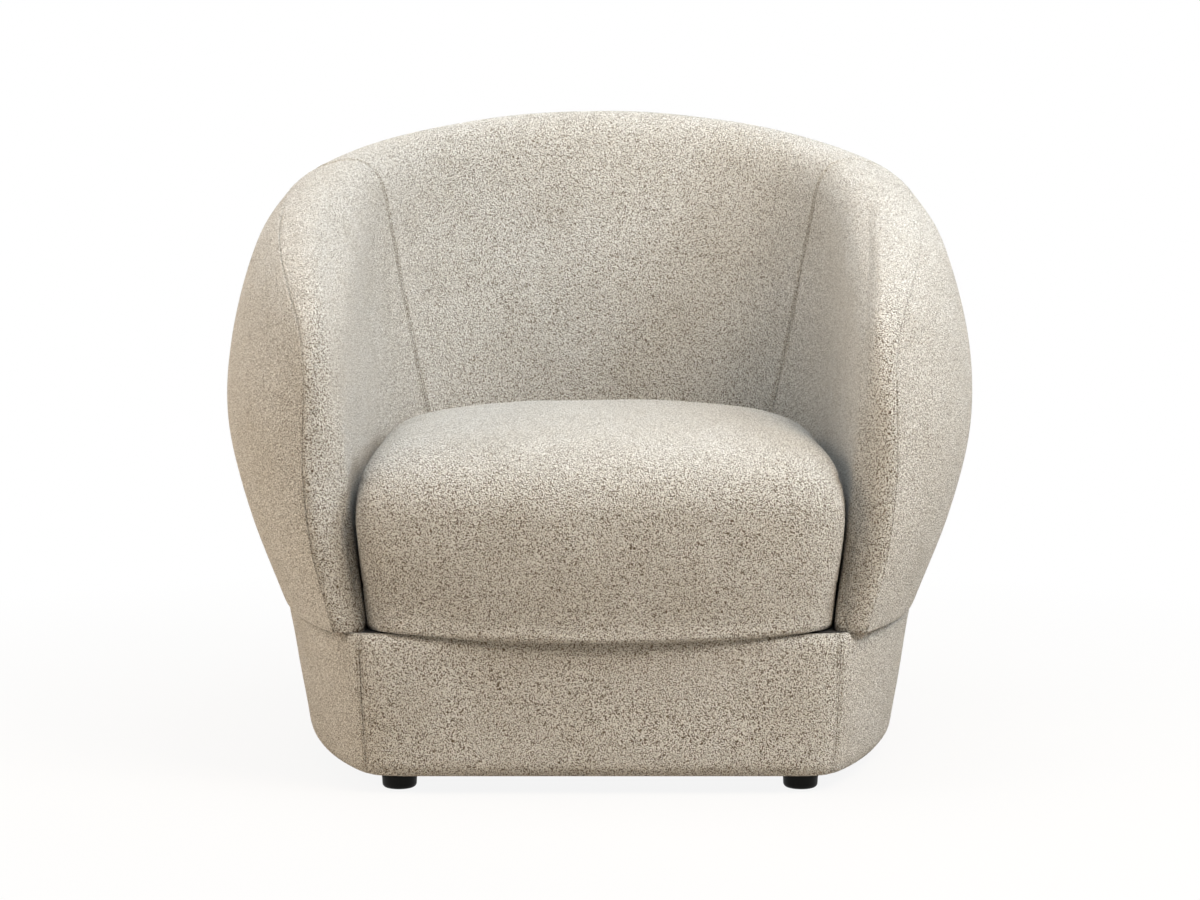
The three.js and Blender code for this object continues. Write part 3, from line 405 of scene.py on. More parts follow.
def base_point(tub, base, angle, rise):
    """Base outline by angle from the front: the round outside of the tub's waist cut by a straight front, the
    two joined by a high power so that the corner turns smoothly."""
    inset = base.edge_radius * base_inset(rise)
    half = base.half_width - base.taper * (1 - rise) - inset
    rear = base.rear_reach - base.taper * (1 - rise) - inset
    across, ahead = np.abs(np.sin(angle)), np.cos(angle)
    reach = np.where(ahead > 0, tub.front_reach, rear)
    power = tub.outer_roundness
    round_radius = ((across / half) ** power + (np.abs(ahead) / reach) ** power) ** (-1 / power)
    flat = np.maximum(ahead, 0) / (tub.belly_centre - base.front - inset)
    corner = base.corner_power
    radius = round_radius * ((flat * round_radius) ** corner + 1) ** (-1 / corner)
    z = mix(base.bottom, tub.waist_height - 0.00015, rise)
    return np.stack([radius * np.sin(angle), tub.belly_centre - radius * ahead, z], -1)


def base_normal(tub, base, angle, rise):
    """Level outward direction of the base, square to the outline."""
    along = base_point(tub, base, angle + 0.01, rise) - base_point(tub, base, angle - 0.01, rise)
    return unit(np.stack([along[..., 1], -along[..., 0], 0 * angle], -1))


def seam_steps(start, stop, span, pitch):
    """Parameter values from start to stop over a span in metres, even in the middle and crowded at the seams.
    """
    millimetres = np.array([0, 0.7, 1.4, 2.1, 2.8, 3.5, 4.2, 5.0, 6.2, 8.0, 10.5, 14])
    near = millimetres / 1000 * (stop - start) / span
    count = max(int(span / pitch), 4)
    middle = np.linspace(start + near[-1], stop - near[-1], count)
    return np.concatenate([start + near[:-1], middle, (stop - near[:-1])[::-1]])


def walked(points, axis):
    """Length walked along each grid line from its first point: the running sum of the straight steps."""
    steps = np.linalg.norm(np.diff(points, axis=axis), axis=-1)
    start = np.zeros_like(steps[:1] if axis == 0 else steps[:, :1])
    return np.concatenate([start, np.cumsum(steps, axis=axis)], axis=axis)


def unevenness(points, size):
    """Slow hand-made waviness: the sum of five sine waves of different direction and length, times size."""
    waves = ((31, 9, 17, 0.4), (-12, 37, 21, 1.9), (23, -28, 33, 3.1), (-41, 14, -27, 4.4), (9, 47, -38, 5.2))
    total = sum(np.sin(points @ np.array(wave[:3], float) + wave[3]) for wave in waves)
    return total * size / len(waves)


def set_shade(mesh, shades):
    """Gives the points of a mesh the painted shade that darkens the yarn in seams and under the cushion's
    front.
    """
    layer = mesh.attributes.new("painted_shade", "FLOAT", "POINT")
    layer.data.foreach_set("value", np.ascontiguousarray(shades, np.float32).ravel())


def new_mesh(name, points, faces):
    """A smooth-shaded mesh from arrays of points and of faces with an equal number of corners."""
    mesh = bpy.data.meshes.new(name)
    corners = faces.shape[1]
    mesh.vertices.add(len(points))
    mesh.vertices.foreach_set("co", np.ascontiguousarray(points, np.float32).ravel())
    mesh.loops.add(faces.size)
    mesh.loops.foreach_set("vertex_index", np.ascontiguousarray(faces, np.int32).ravel())
    mesh.polygons.add(len(faces))
    mesh.polygons.foreach_set("loop_start", np.arange(0, faces.size, corners, dtype=np.int32))
    mesh.polygons.foreach_set("use_smooth", np.ones(len(faces), bool))
    mesh.update(calc_edges=True)
    mesh.validate()
    return mesh


def new_piece(name, mesh, look, body, *nodes):
    """A piece that rides on a CAD body, takes its look's material slot and stands for CAD nodes."""
    piece = bpy.data.objects.new(name, mesh)
    bpy.context.scene.collection.objects.link(piece)
    mesh.materials.append(look_of(look))
    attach(piece, body)
    if nodes:
        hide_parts(*nodes)
    return piece


def box_of(name):
    """Lowest and highest corner of the box round a CAD node."""
    return (np.array(corner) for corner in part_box(name))


def cells(index):
    """Four-cornered faces between the point numbers of a grid."""
    corners = [index[:-1, :-1], index[1:, :-1], index[1:, 1:], index[:-1, 1:]]
    return np.stack(corners, -1).reshape(-1, 4)


def grid_faces(rows, columns, start=0, flip=False):
    """Faces of a grid whose points are numbered row by row."""
    faces = cells(np.arange(rows * columns).reshape(rows, columns) + start)
    return faces[:, ::-1] if flip else faces


def copied_faces(faces, count, size):
    """Faces of a row of equal bodies, each with that many points."""
    return (faces[None] + (np.arange(count) * size)[:, None, None]).reshape(-1, 4)


def rim_loop(rows, columns):
    """Numbers of the border points of a grid, in order round it."""
    index = np.arange(rows * columns).reshape(rows, columns)
    return np.concatenate([index[:-1, 0], index[-1, :-1], index[:0:-1, -1], index[0, :0:-1]])


def sewn_panel(name, points, normals, edges, thickness, taper=1.0):
    """One closed padded panel. Its outer grid rolls in towards each border along a quarter circle, with small
    puckers and, beside a topstitched seam, a furrow under the thread; its inner grid lies one thickness
    below. Each border has a radius, a depth, the distance of its needle row, 0 for none, and the strength of
    the painted shade along it and in its furrow."""
    rows, columns = points.shape[:2]
    dip, shade = np.zeros((rows, columns)), np.zeros((rows, columns))
    free = np.ones((rows, columns))
    across = (walked(points, 0), walked(points, 1))
    for border, (radius, depth, needle, dark) in edges.items():
        axis = 0 if border.endswith("row") else 1
        length = across[axis]
        whole = length[-1:] if axis == 0 else length[:, -1:]
        distance = length if border.startswith("first") else whole - length
        limit = np.minimum(radius, 0.45 * whole)
        closeness = np.clip(1 - distance / np.maximum(limit, 1e-6), 0, 1)
        dip += depth * (limit / radius) * (1 - np.sqrt(1 - closeness ** 2))
        free = np.minimum(free, fade_in(distance, 0, 0.006))
        # Painted shade: the yarn darkens along the seam, where the roll-in lies in shade.
        shade = np.maximum(shade, dark * np.exp(-(distance / 0.0016) ** 2))
        beside = across[1 - axis]
        wave = beside * 2 * np.pi / PUCKER_PITCH
        pucker = np.sin(wave) + 0.6 * np.sin(wave / 1.7 + 1)
        dip += PUCKER_DEPTH * pucker * np.exp(-(distance / 0.009) ** 2) * fade_in(distance, 0, 0.002)
        if needle:
            dip += FURROW_DEPTH * np.exp(-((distance - needle) / FURROW_WIDTH) ** 2)
            # Painted shade in the furrow under the thread.
            shade = np.maximum(shade, 0.7 * dark * np.exp(-((distance - needle) / 0.0009) ** 2))
    dip += unevenness(points, PANEL_WAVES) * free
    outer = points - normals * (dip * taper)[..., None]
    inner = points - normals * (thickness * taper + 0 * dip)[..., None]
    loop = rim_loop(rows, columns)
    after = np.roll(loop, -1)
    half = rows * columns
    walls = np.stack([loop, loop + half, after + half, after], -1)
    faces = np.concatenate([grid_faces(rows, columns), grid_faces(rows, columns, half, True), walls])
    everything = np.concatenate([outer.reshape(-1, 3), inner.reshape(-1, 3)])
    mesh = new_mesh(name, everything, faces)
    set_shade(mesh, np.concatenate([shade.ravel(), shade.ravel()]))
    return mesh


def square_rings(half, front, rear, rings):
    """Directions and ring numbers of a square grid laid over a plan: each point of the square is pulled
    towards the plan's own proportions, so that its corners fall on the plan's corners."""
    even = np.arange(-rings, rings + 1) / rings
    u, v = np.meshgrid(even, even, indexing="ij")
    ring = np.rint(np.maximum(np.abs(u), np.abs(v)) * rings).astype(int)
    angle = np.arctan2(u * half, -np.where(v < 0, v * front, v * rear))
    return angle, ring


def crowded_shares(height, reach, rings, spots=()):
    """Shares from the middle, 0, to the widest line, 1, at equal steps along the profile, closer together
    near the heights in spots: the running sum of the weighted steps is turned round by interpolation."""
    fine = 1 - (1 - np.linspace(0, 1, 4001)) ** 6
    z = height(fine)
    steps = np.hypot(np.diff(fine) * reach, np.diff(z))
    middle = (z[1:] + z[:-1]) / 2
    crowd = 1 + sum(CROWD_WEIGHT * np.exp(-((middle - spot) / CROWD_WIDTH) ** 2) for spot in spots)
    total = np.concatenate([[0], np.cumsum(steps * crowd)])
    return np.interp(np.linspace(0, total[-1], rings + 1), total, fine)


def pillow_faces(side):
    """Faces of two square grids joined along their common border: the upper grid is numbered row by row, and
    the lower one follows with its inner points only."""
    upper = np.arange(side * side).reshape(side, side)
    lower = upper.copy()
    lower[1:-1, 1:-1] = side * side + np.arange((side - 2) ** 2).reshape(side - 2, side - 2)
    return np.concatenate([cells(upper), cells(lower)[:, [0, 3, 2, 1]]])


def pillow_points(above, below):
    """Points for those faces from the whole upper grid and the inside of the lower one."""
    return np.concatenate([above.reshape(-1, 3), below[1:-1, 1:-1].reshape(-1, 3)])


def cushion_body(tub, cushion, inset, rings, spots=()):
    """Cushion between two domes over one superellipse plan. The upper dome falls with a power of one minus
    the share to a high power, plus a parabola for the crown; the lower one is the same with its own powers.
    In front a cubic of the share draws the upper dome back and the lower one forward."""
    centre = tub.inner_straight_end
    half = cushion.half_width - inset
    front = centre - cushion.front
    angle, ring = square_rings(half, front * (1 - cushion.bow / 2), cushion.rear_reach, rings)
    across, ahead = np.sin(angle), np.cos(angle)
    bowed = front * (1 - cushion.bow * across ** 2)
    reach = np.where(ahead > 0, bowed, cushion.rear_reach) - inset
    power = np.where(ahead > 0, cushion.front_power, cushion.rear_power)
    radius = (np.abs(across / half) ** power + np.abs(ahead / reach) ** power) ** (-1 / power)

    def top(part):
        dome = (cushion.top_height - inset) * (1 - part ** cushion.top_power) ** cushion.top_round
        return dome + cushion.crown * (1 - part ** 2)

    def low(part):
        depth = cushion.belly - tub.waist_height - inset
        return -depth * (1 - part ** cushion.low_power) ** cushion.low_round

    sheets = []
    for height, draw in ((top, cushion.top_draw), (low, cushion.low_draw)):
        table = crowded_shares(height, half, rings, spots)
        part = table[ring]
        forward = np.where(ahead > 0, part + draw * part ** 2 * (1 - part), part)
        rise = height(part)
        narrowed = 1 + cushion.low_taper * np.minimum(rise, 0) / (cushion.belly - tub.waist_height)
        x, y = radius * part * across * narrowed, centre - radius * forward * ahead
        sheets.append(np.stack([x, y, cushion.belly + rise], -1))
    return pillow_points(*sheets), pillow_faces(2 * rings + 1)


def read_vectors(rows, key):
    """Array of one vector from each row of a mesh's collection."""
    vectors = np.empty(len(rows) * 3, np.float32)
    rows.foreach_get(key, vectors)
    return vectors.reshape(-1, 3).astype(float)


def mesh_normals(mesh):
    """The smooth outward direction at each point of a mesh."""
    return read_vectors(mesh.vertex_normals, "vector")


def set_points(mesh, points):
    """Puts an array of points into a mesh."""
    mesh.vertices.foreach_set("co", np.ascontiguousarray(points, np.float32).ravel())
    mesh.update()


def evened(mesh, values, rounds):
    """Values at the points of a mesh after some rounds in which each becomes the mean of its neighbours'."""
    pairs = np.empty(len(mesh.edges) * 2, np.int32)
    mesh.edges.foreach_get("vertices", pairs)
    first, second = pairs.reshape(-1, 2).T
    size = len(mesh.vertices)
    neighbours = np.bincount(first, minlength=size) + np.bincount(second, minlength=size)
    for _ in range(rounds):
        total = np.bincount(first, values[second], size) + np.bincount(second, values[first], size)
        values = total / neighbours
    return values


def swollen(points, faces, pressure, limit):
    """Points moved outwards as far as twenty frames of cloth under pressure and no gravity push them, evened
    out over the mesh and no further than the limit."""
    mesh = new_mesh("filling_trial", points, faces)
    trial = bpy.data.objects.new("filling_trial", mesh)
    scene = bpy.context.scene
    scene.collection.objects.link(trial)
    cloth = trial.modifiers.new("filling", "CLOTH").settings
    cloth.quality = 5
    cloth.mass = 0.3
    cloth.tension_stiffness = 20
    cloth.compression_stiffness = 20
    cloth.shear_stiffness = 10
    cloth.bending_stiffness = 2
    cloth.use_pressure = True
    cloth.uniform_pressure_force = pressure
    cloth.effector_weights.gravity = 0
    for number in range(1, 21):
        scene.frame_set(number)
    shaped = trial.evaluated_get(bpy.context.evaluated_depsgraph_get())
    moved = read_vectors(shaped.data.vertices, "co") - points
    outward = mesh_normals(mesh)
    swell = evened(mesh, np.clip(np.sum(moved * outward, 1), 0, limit), 400)
    scene.frame_set(1)
    bpy.data.objects.remove(trial)
    bpy.data.meshes.remove(mesh)
    return points + outward * swell[:, None]


def cheek_depth(tub, y, z):
    """How far the arm pads bulge in at a place: most low down at the front, fading upwards and backwards."""
    return tub.cheek * fade_out(z, 0.31, 0.13) * fade_out(y, tub.inner_front + 0.08, 0.08)


def with_cheek(tub, points, skin):
    """Points of the tub's skin with the bulge of the arm pads, which starts at the rim seam."""
    x, y, z = np.moveaxis(points, -1, 0)
    return np.stack([x - np.sign(x) * cheek_depth(tub, y, z) * ease(skin - 1), y, z], -1)


def kept_inside(tub, points, clearance):
    """Pulls points in to stay clear of the inner skin: a point outside the superellipse of its height is
    scaled back onto it, and in front of the arms the limit opens up."""
    x, y, z = points.T
    height = rim_height(tub, y, 0 * y) - tub.shoulder_drop - tub.waist_height
    rise = np.clip((z - tub.waist_height) / height, 0, 1)
    opened = np.clip(tub.inner_front - y, 0, 0.1) * 0.35
    half = tub.inner_half_width + tub.arm_lean * rise + opened - clearance - cheek_depth(tub, y, z)
    reach = tub.inner_rear_reach + tub.back_lean * rise ** 1.3 - clearance
    behind = np.maximum(y - tub.inner_straight_end, 0)
    power = tub.inner_roundness
    over = np.maximum((np.abs(x) / half) ** power + (behind / reach) ** power, 1) ** (-1 / power)
    return np.stack([x * over, y + behind * (over - 1), z], -1)


def with_filled_corner(cushion, points, normals):
    """Points pushed out most where the cloth faces half down, by four times the square of the downward share
    times one minus that square, so that the lower edge turns more tightly."""
    down = np.minimum(normals[:, 2], 0) ** 2
    fill = cushion.corner_fill * 4 * down * (1 - down) * fade_out(points[:, 2], 0.225, 0.025)
    return points + normals * fill[:, None]


def with_lip(tub, base, cushion, points):
    """Points of the cushion with its lower front drawn back and sagging over the base, most in the middle,
    and lying on the quarter of a superellipse that rounds the base's upper edge."""
    x, y, z = points.T
    z = np.maximum(z, tub.waist_height + 0.0002)
    y = y + cushion.tuck * fade_out(z, 0.28, 0.1) * fade_out(y, -0.33, 0.06)
    hanging = fade_out(y, base.front + 0.004, 0.01) * fade_out(z, 0.27, 0.07)
    z = z - cushion.sag * hanging * np.clip(1 - (x / SAG_HALF_WIDTH) ** 2, 0, 1)
    share_out = np.clip((base.front + LIP_RADIUS - y) / LIP_RADIUS, 0, 1)
    drop = LIP_RADIUS * (1 - share_out ** LIP_POWER) ** (1 / LIP_POWER)
    roll = tub.waist_height - LIP_RADIUS + drop + 0.0004
    return np.stack([x, y, np.where(y > base.front - 0.0002, np.maximum(z, roll), z)], -1)


def lathe(outline, segments, centre):
    """Closed ring turned from a closed outline of radius and height about an upright line."""
    outline = np.asarray(outline, float)
    turn = np.arange(segments) / segments * 2 * np.pi
    radius, z = outline[:, 0], outline[:, 1]
    x = centre[0] + radius[None, :] * np.cos(turn)[:, None]
    y = centre[1] + radius[None, :] * np.sin(turn)[:, None]
    points = np.stack([x, y, np.broadcast_to(z, x.shape)], -1).reshape(-1, 3)
    count = len(outline)
    i, j = np.meshgrid(np.arange(segments), np.arange(count), indexing="ij")
    near, far = (i + 1) % segments, (j + 1) % count
    faces = np.stack([i * count + j, near * count + j, near * count + far, i * count + far], -1)
    return points, faces.reshape(-1, 4)


def rounded_block(low, high, power, steps):
    """Closed block with soft edges: a superellipsoid on a cube's six grids, scaled into the box from low to
    high. Each cube point is divided by the power mean of its coordinates."""
    even = np.linspace(-1, 1, steps + 1)
    u, v = np.meshgrid(even, even, indexing="ij")
    one = np.ones_like(u)
    sides, faces, start = [], [], 0
    for axis in range(3):
        for sign in (-1, 1):
            side = np.roll(np.stack([one * sign, u, v], -1), axis, axis=-1).reshape(-1, 3)
            sides.append(side)
            faces.append(grid_faces(steps + 1, steps + 1, start, sign < 0))
            start += len(side)
    cube = np.concatenate(sides)
    body = cube / (np.sum(np.abs(cube) ** power, -1, keepdims=True)) ** (1 / power)
    low, high = np.asarray(low, float), np.asarray(high, float)
    return (low + high) / 2 + body * (high - low) / 2, np.concatenate(faces)


def joined(parts):
    """Points and faces of several closed bodies in one list."""
    start = np.cumsum([0] + [len(points) for points, faces in parts[:-1]])
    return (np.concatenate([points for points, faces in parts]),
            np.concatenate([faces + first for (points, faces), first in zip(parts, start)]))


def welded(mesh):
    """Joins the doubled points of a mesh."""
    work = bmesh.new()
    work.from_mesh(mesh)
    bmesh.ops.remove_doubles(work, verts=work.verts, dist=1e-6)
    bmesh.ops.recalc_face_normals(work, faces=work.faces)
    work.to_mesh(mesh)
    work.free()
    mesh.polygons.foreach_set("use_smooth", np.ones(len(mesh.polygons), bool))
    return mesh


def stitches(path, normals):
    """Thread along a path: equal short stitches, each a six-sided spindle that bows up in its middle, set out
    by the length walked along the path."""
    pitch, length, radius = STITCH
    steps = np.linalg.norm(np.diff(path, axis=0), axis=1)
    total = np.concatenate([[0], np.cumsum(steps)])
    places = np.arange(pitch, total[-1] - pitch, pitch)

    def sampled(at, rows):
        return np.stack([np.interp(at, total, rows[:, k]) for k in range(3)], -1)

    middle = sampled(places, path)
    up = unit(sampled(places, normals))
    ahead = sampled(places + pitch / 4, path) - middle
    along = unit(ahead - up * np.sum(ahead * up, -1, keepdims=True))
    side = np.cross(up, along)
    stations = np.array([-1, -0.82, -0.4, 0.4, 0.82, 1])
    thick = np.array([0.25, 0.8, 1, 1, 0.8, 0.25]) * radius
    lift = (0.5 - stations ** 4) * radius * 1.6
    turn = np.arange(6) / 6 * 2 * np.pi
    local_side = thick[:, None] * np.cos(turn)
    local_up = thick[:, None] * np.sin(turn) + lift[:, None]
    local_along = np.broadcast_to((stations * length / 2)[:, None], local_side.shape)
    world = middle[:, None, None]
    for axis, local in ((along, local_along), (side, local_side), (up, local_up)):
        world = world + axis[:, None, None] * local[None, ..., None]
    i, j = np.meshgrid(np.arange(5), np.arange(6), indexing="ij")
    far = (j + 1) % 6
    quad = np.stack([i * 6 + j, i * 6 + far, (i + 1) * 6 + far, (i + 1) * 6 + j], -1).reshape(-1, 4)
    caps = np.array([[0, 3, 2, 1], [0, 5, 4, 3], [30, 31, 32, 33], [30, 33, 34, 35]])
    faces = np.concatenate([quad, caps])[:, ::-1]
    return world.reshape(-1, 3), copied_faces(faces, len(places), 36)


def node(tree, kind, inputs=None, **settings):
    """A shader node with its settings, and its sockets set to a value or linked to another node's output."""
    made = tree.nodes.new(kind)
    for key, value in settings.items():
        setattr(made, key, value)
    for key, value in (inputs or {}).items():
        if isinstance(value, bpy.types.NodeSocket):
            tree.links.new(value, made.inputs[key])
        else:
            made.inputs[key].default_value = value
    return made


def blank_look(name):
    """A new material with an empty tree and its object coordinates."""
    look = bpy.data.materials.new(name)
    look.use_nodes = True
    tree = look.node_tree
    tree.nodes.clear()
    place = node(tree, "ShaderNodeTexCoord").outputs["Object"]
    return look, tree, place


def finish_look(tree, colour, height, strength, distance, **values):
    """Ends a tree with relief from a height and one surface shader, whose constants stand on its own sockets.
    """
    bump = node(tree, "ShaderNodeBump", {"Height": height, "Strength": strength, "Distance": distance})
    inputs = {key.replace("_", " "): value for key, value in values.items()}
    inputs.update({"Base Color": colour, "Normal": bump.outputs["Normal"]})
    surface = node(tree, "ShaderNodeBsdfPrincipled", inputs)
    node(tree, "ShaderNodeOutputMaterial", {"Surface": surface.outputs["BSDF"]})


def noise(tree, place, scale, detail, **values):
    """A noise texture over a place."""
    return node(tree, "ShaderNodeTexNoise", {"Vector": place, "Scale": scale, "Detail": detail, **values})


def ramp(tree, value, stops):
    """Colour ramp from a list of places and linear colours."""
    made = node(tree, "ShaderNodeValToRGB", {"Fac": value})
    band = made.color_ramp
    while len(band.elements) > 1:
        band.elements.remove(band.elements[-1])
    band.elements[0].position = stops[0][0]
    band.elements[0].color = (*stops[0][1], 1)
    for position, colour in stops[1:]:
        band.elements.new(position).color = (*colour, 1)
    return made.outputs["Color"]


def math_node(tree, operation, a, b=None, clamp=False):
    """One sum, product or other plain operation."""
    made = node(tree, "ShaderNodeMath", {0: a} if b is None else {0: a, 1: b}, operation=operation)
    made.use_clamp = clamp
    return made.outputs[0]


def seen_directly(tree):
    """1 for a ray of the camera and for what mirrors and glass pass on, else 0."""
    path = node(tree, "ShaderNodeLightPath")
    seen = math_node(tree, "MAXIMUM", path.outputs["Is Camera Ray"], path.outputs["Is Glossy Ray"])
    return math_node(tree, "MAXIMUM", seen, path.outputs["Is Transmission Ray"])


def colour_mix(tree, factor, a, b, blend="MIX"):
    """Mix of two colours."""
    made = node(tree, "ShaderNodeMix", data_type="RGBA", blend_type=blend)
    for index, value in ((0, factor), (6, a), (7, b)):
        if isinstance(value, bpy.types.NodeSocket):
            tree.links.new(value, made.inputs[index])
        else:
            made.inputs[index].default_value = value if index == 0 else (*value, 1)
    return made.outputs[2]


def looped_yarn(yarn):
    """Looped yarn cloth: a smooth noise of one scale, bent by a slow one, gives the loops, and a finer one
    gives the strands on them. Their height drives the relief and the ramp from painted shade in the hollows
    to pale loop tops, and the painted shade of seams mixes in the hollows' deep tone."""
    look, tree, place = blank_look("looped_yarn")
    size = 1 / yarn.loop_size

    def vector(operation, inputs):
        return node(tree, "ShaderNodeVectorMath", inputs, operation=operation).outputs[0]

    drift = noise(tree, place, size * 0.3, 0.0).outputs["Color"]
    centred = vector("SUBTRACT", {0: drift, 1: (0.5, 0.5, 0.5)})
    pushed = vector("SCALE", {0: centred, "Scale": yarn.loop_size * 1.2})
    bent = vector("ADD", {0: place, 1: pushed})
    loops = noise(tree, bent, size, 0.0, Distortion=0.5)
    strands = noise(tree, bent, size * 2.4, 0.0)
    height = math_node(tree, "ADD", math_node(tree, "MULTIPLY", loops.outputs["Fac"], 4.4),
                       math_node(tree, "MULTIPLY", strands.outputs["Fac"], 0.4))
    height = math_node(tree, "SUBTRACT", height, 1.9)
    # Painted shade: the ramp darkens the low parts of the relief, the hollows between loops, to the deep
    # colour.
    tone = ramp(tree, height, ((0.0, yarn.deep), (0.3, yarn.middle), (0.64, yarn.pale)))
    patchy = noise(tree, place, 14.0, 2.0).outputs["Fac"]
    warm = ramp(tree, patchy, ((0.3, (0.93, 0.92, 0.90)), (0.7, (1.0, 1.0, 1.0))))
    tone = colour_mix(tree, 1.0, tone, warm, "MULTIPLY")
    # Painted shade of seams, boxing seams and the cushion's down-facing lower front, mixed towards the deep
    # colour.
    painted_shade_share = node(tree, "ShaderNodeAttribute", attribute_name="painted_shade").outputs["Fac"]
    tone = colour_mix(tree, math_node(tree, "MULTIPLY", painted_shade_share, 0.45), tone, tuple(yarn.deep))
    finish_look(tree, tone, height, 1.0, yarn.relief, Roughness=0.92, Sheen_Weight=0.35,
                Sheen_Roughness=0.45, Specular_IOR_Level=0.25)
    return look


def grained_look(name, scale, detail, stops, strength, distance, **values):
    """A plain surface with one fine noise in its colour and its relief."""
    look, tree, place = blank_look(name)
    grain = noise(tree, place, scale, detail).outputs["Fac"]
    finish_look(tree, ramp(tree, grain, stops), grain, strength, distance, **values)
    return look


def weave_look(name, dark, pale, size, relief, roughness):
    """Plain woven cloth: two sets of waves crossing at right angles, the higher one on top, with slubs."""
    look, tree, place = blank_look(name)
    waves = []
    for direction in ("X", "Y"):
        wave = node(tree, "ShaderNodeTexWave", {"Vector": place, "Scale": 1 / size / 6.0, "Distortion": 0.4},
                    wave_type="BANDS", bands_direction=direction)
        waves.append(wave.outputs["Fac"])
    cross = math_node(tree, "MAXIMUM", *waves)
    slubs = noise(tree, place, 0.5 / size, 3.0)
    height = math_node(tree, "MULTIPLY", cross, slubs.outputs["Fac"])
    tone = ramp(tree, height, ((0.15, dark), (0.6, pale)))
    finish_look(tree, tone, height, 0.8, relief, Roughness=roughness, Sheen_Weight=0.1)
    return look


def foam_look():
    """Open foam: fine yellowish cells."""
    look, tree, place = blank_look("open_foam")
    pores = node(tree, "ShaderNodeTexVoronoi", {"Vector": place, "Scale": 700.0}).outputs["Distance"]
    tone = ramp(tree, pores, ((0.1, (0.50, 0.42, 0.24)), (0.6, (0.80, 0.73, 0.50))))
    finish_look(tree, tone, pores, 0.7, 0.0008, Roughness=0.95)
    return look


def wood_look(name, dark, pale, grain):
    """Wood board: long noise along the grain, plies as thin bands across it."""
    look, tree, place = blank_look(name)
    stretched = node(tree, "ShaderNodeMapping", {"Vector": place, "Scale": (1.0, 0.12, 1.0)})
    fibres = noise(tree, stretched.outputs["Vector"], grain, 5.0, Roughness=0.7)
    plies = node(tree, "ShaderNodeTexWave", {"Vector": place, "Scale": 55.0, "Distortion": 0.3},
                 bands_direction="Z")
    blend = math_node(tree, "MULTIPLY_ADD", plies.outputs["Fac"], 0.18)
    tree.links.new(math_node(tree, "MULTIPLY", fibres.outputs["Fac"], 0.82), blend.node.inputs[2])
    tone = ramp(tree, blend, ((0.25, dark), (0.7, pale)))
    finish_look(tree, tone, blend, 0.3, 0.0005, Roughness=0.68)
    return look


def metal_look(name, colour, roughness):
    """Plated steel: fine brushed noise in the sheen."""
    stops = ((0.2, tuple(0.8 * c for c in colour)), (0.8, colour))
    return grained_look(name, 900.0, 2.0, stops, 0.15, 0.0002, Roughness=roughness, Metallic=1.0)


def foot_look():
    """Moulded black plastic: fine grain, and a lighter tone on its lowest six millimetres."""
    look, tree, place = blank_look("moulded_black")
    grain = noise(tree, place, 1100.0, 2.0).outputs["Fac"]
    height = node(tree, "ShaderNodeSeparateXYZ", {"Vector": place}).outputs["Z"]
    lower_edge_lift = math_node(tree, "MULTIPLY", math_node(tree, "SUBTRACT", 0.006, height), 60.0, True)
    tone = ramp(tree, grain, ((0.3, (0.0035, 0.0033, 0.003)), (0.7, (0.008, 0.0075, 0.007))))
    tone = colour_mix(tree, lower_edge_lift, tone, (0.012, 0.0115, 0.011))
    finish_look(tree, tone, grain, 0.3, 0.0003, Roughness=0.5, Specular_IOR_Level=0.12)
    return look


def floor_look():
    """Pale floor, seen by the camera as nearly white with the chair's soft shadow kept."""
    look, tree, place = blank_look("studio_floor")
    mottled = noise(tree, place, 3.0, 2.0).outputs["Fac"]
    tone = ramp(tree, mottled, ((0.3, (0.56, 0.50, 0.43)), (0.7, (0.58, 0.52, 0.45))))
    matte = node(tree, "ShaderNodeBsdfDiffuse", {"Color": tone})
    white = node(tree, "ShaderNodeEmission", {"Color": (1, 1, 1, 1), "Strength": 1.0})
    away = node(tree, "ShaderNodeVectorMath", {0: place}, operation="LENGTH").outputs["Value"]
    far = node(tree, "ShaderNodeMapRange", {"Value": away, 1: 0.5, 2: 1.5, 3: 0.9, 4: 1.0}).outputs[0]
    bright = math_node(tree, "MULTIPLY", seen_directly(tree), far)
    both = node(tree, "ShaderNodeMixShader", {0: bright, 1: matte.outputs[0], 2: white.outputs[0]})
    node(tree, "ShaderNodeOutputMaterial", {"Surface": both.outputs[0]})
    return look


LOOKS = {}


def look_of(name):
    """The finished material of that name, made once."""
    if name not in LOOKS:
        thread = ((0.3, (0.30, 0.26, 0.20)), (0.7, (0.62, 0.57, 0.48)))
        webbing = ((0.03, 0.028, 0.025), (0.13, 0.12, 0.10), 0.0016, 0.0006, 0.85)
        lining = ((0.008, 0.008, 0.008), (0.035, 0.033, 0.032), 0.0009, 0.0003, 0.9)
        makers = {
            "yarn": lambda: looped_yarn(bpy.context.scene.yarn_look),
            "thread": lambda: grained_look("sewing_thread", 1500.0, 1.0, thread, 0.5, 0.0003, Roughness=0.7),
            "webbing": lambda: weave_look("webbing", *webbing),
            "lining": lambda: weave_look("lining", *lining),
            "foam": foam_look,
            "plywood": lambda: wood_look("plywood", (0.36, 0.22, 0.10), (0.68, 0.48, 0.28), 60.0),
            "fibreboard": lambda: wood_look("fibreboard", (0.18, 0.11, 0.05), (0.34, 0.22, 0.12), 220.0),
            "zinc": lambda: metal_look("zinc_plate", (0.45, 0.46, 0.49), 0.35),
            "nickel": lambda: metal_look("nickel_plate", (0.55, 0.52, 0.47), 0.28),
            "foot": foot_look,
            "floor": floor_look,
        }
        LOOKS[name] = makers[name]()
    return LOOKS[name]


def sewn_cover(name, mesh):
    """Yarn cover of the chair's frame, which takes the place of its CAD node and hides it."""
    new_piece("sewn_" + name, mesh, "yarn", "chair_frame", name)


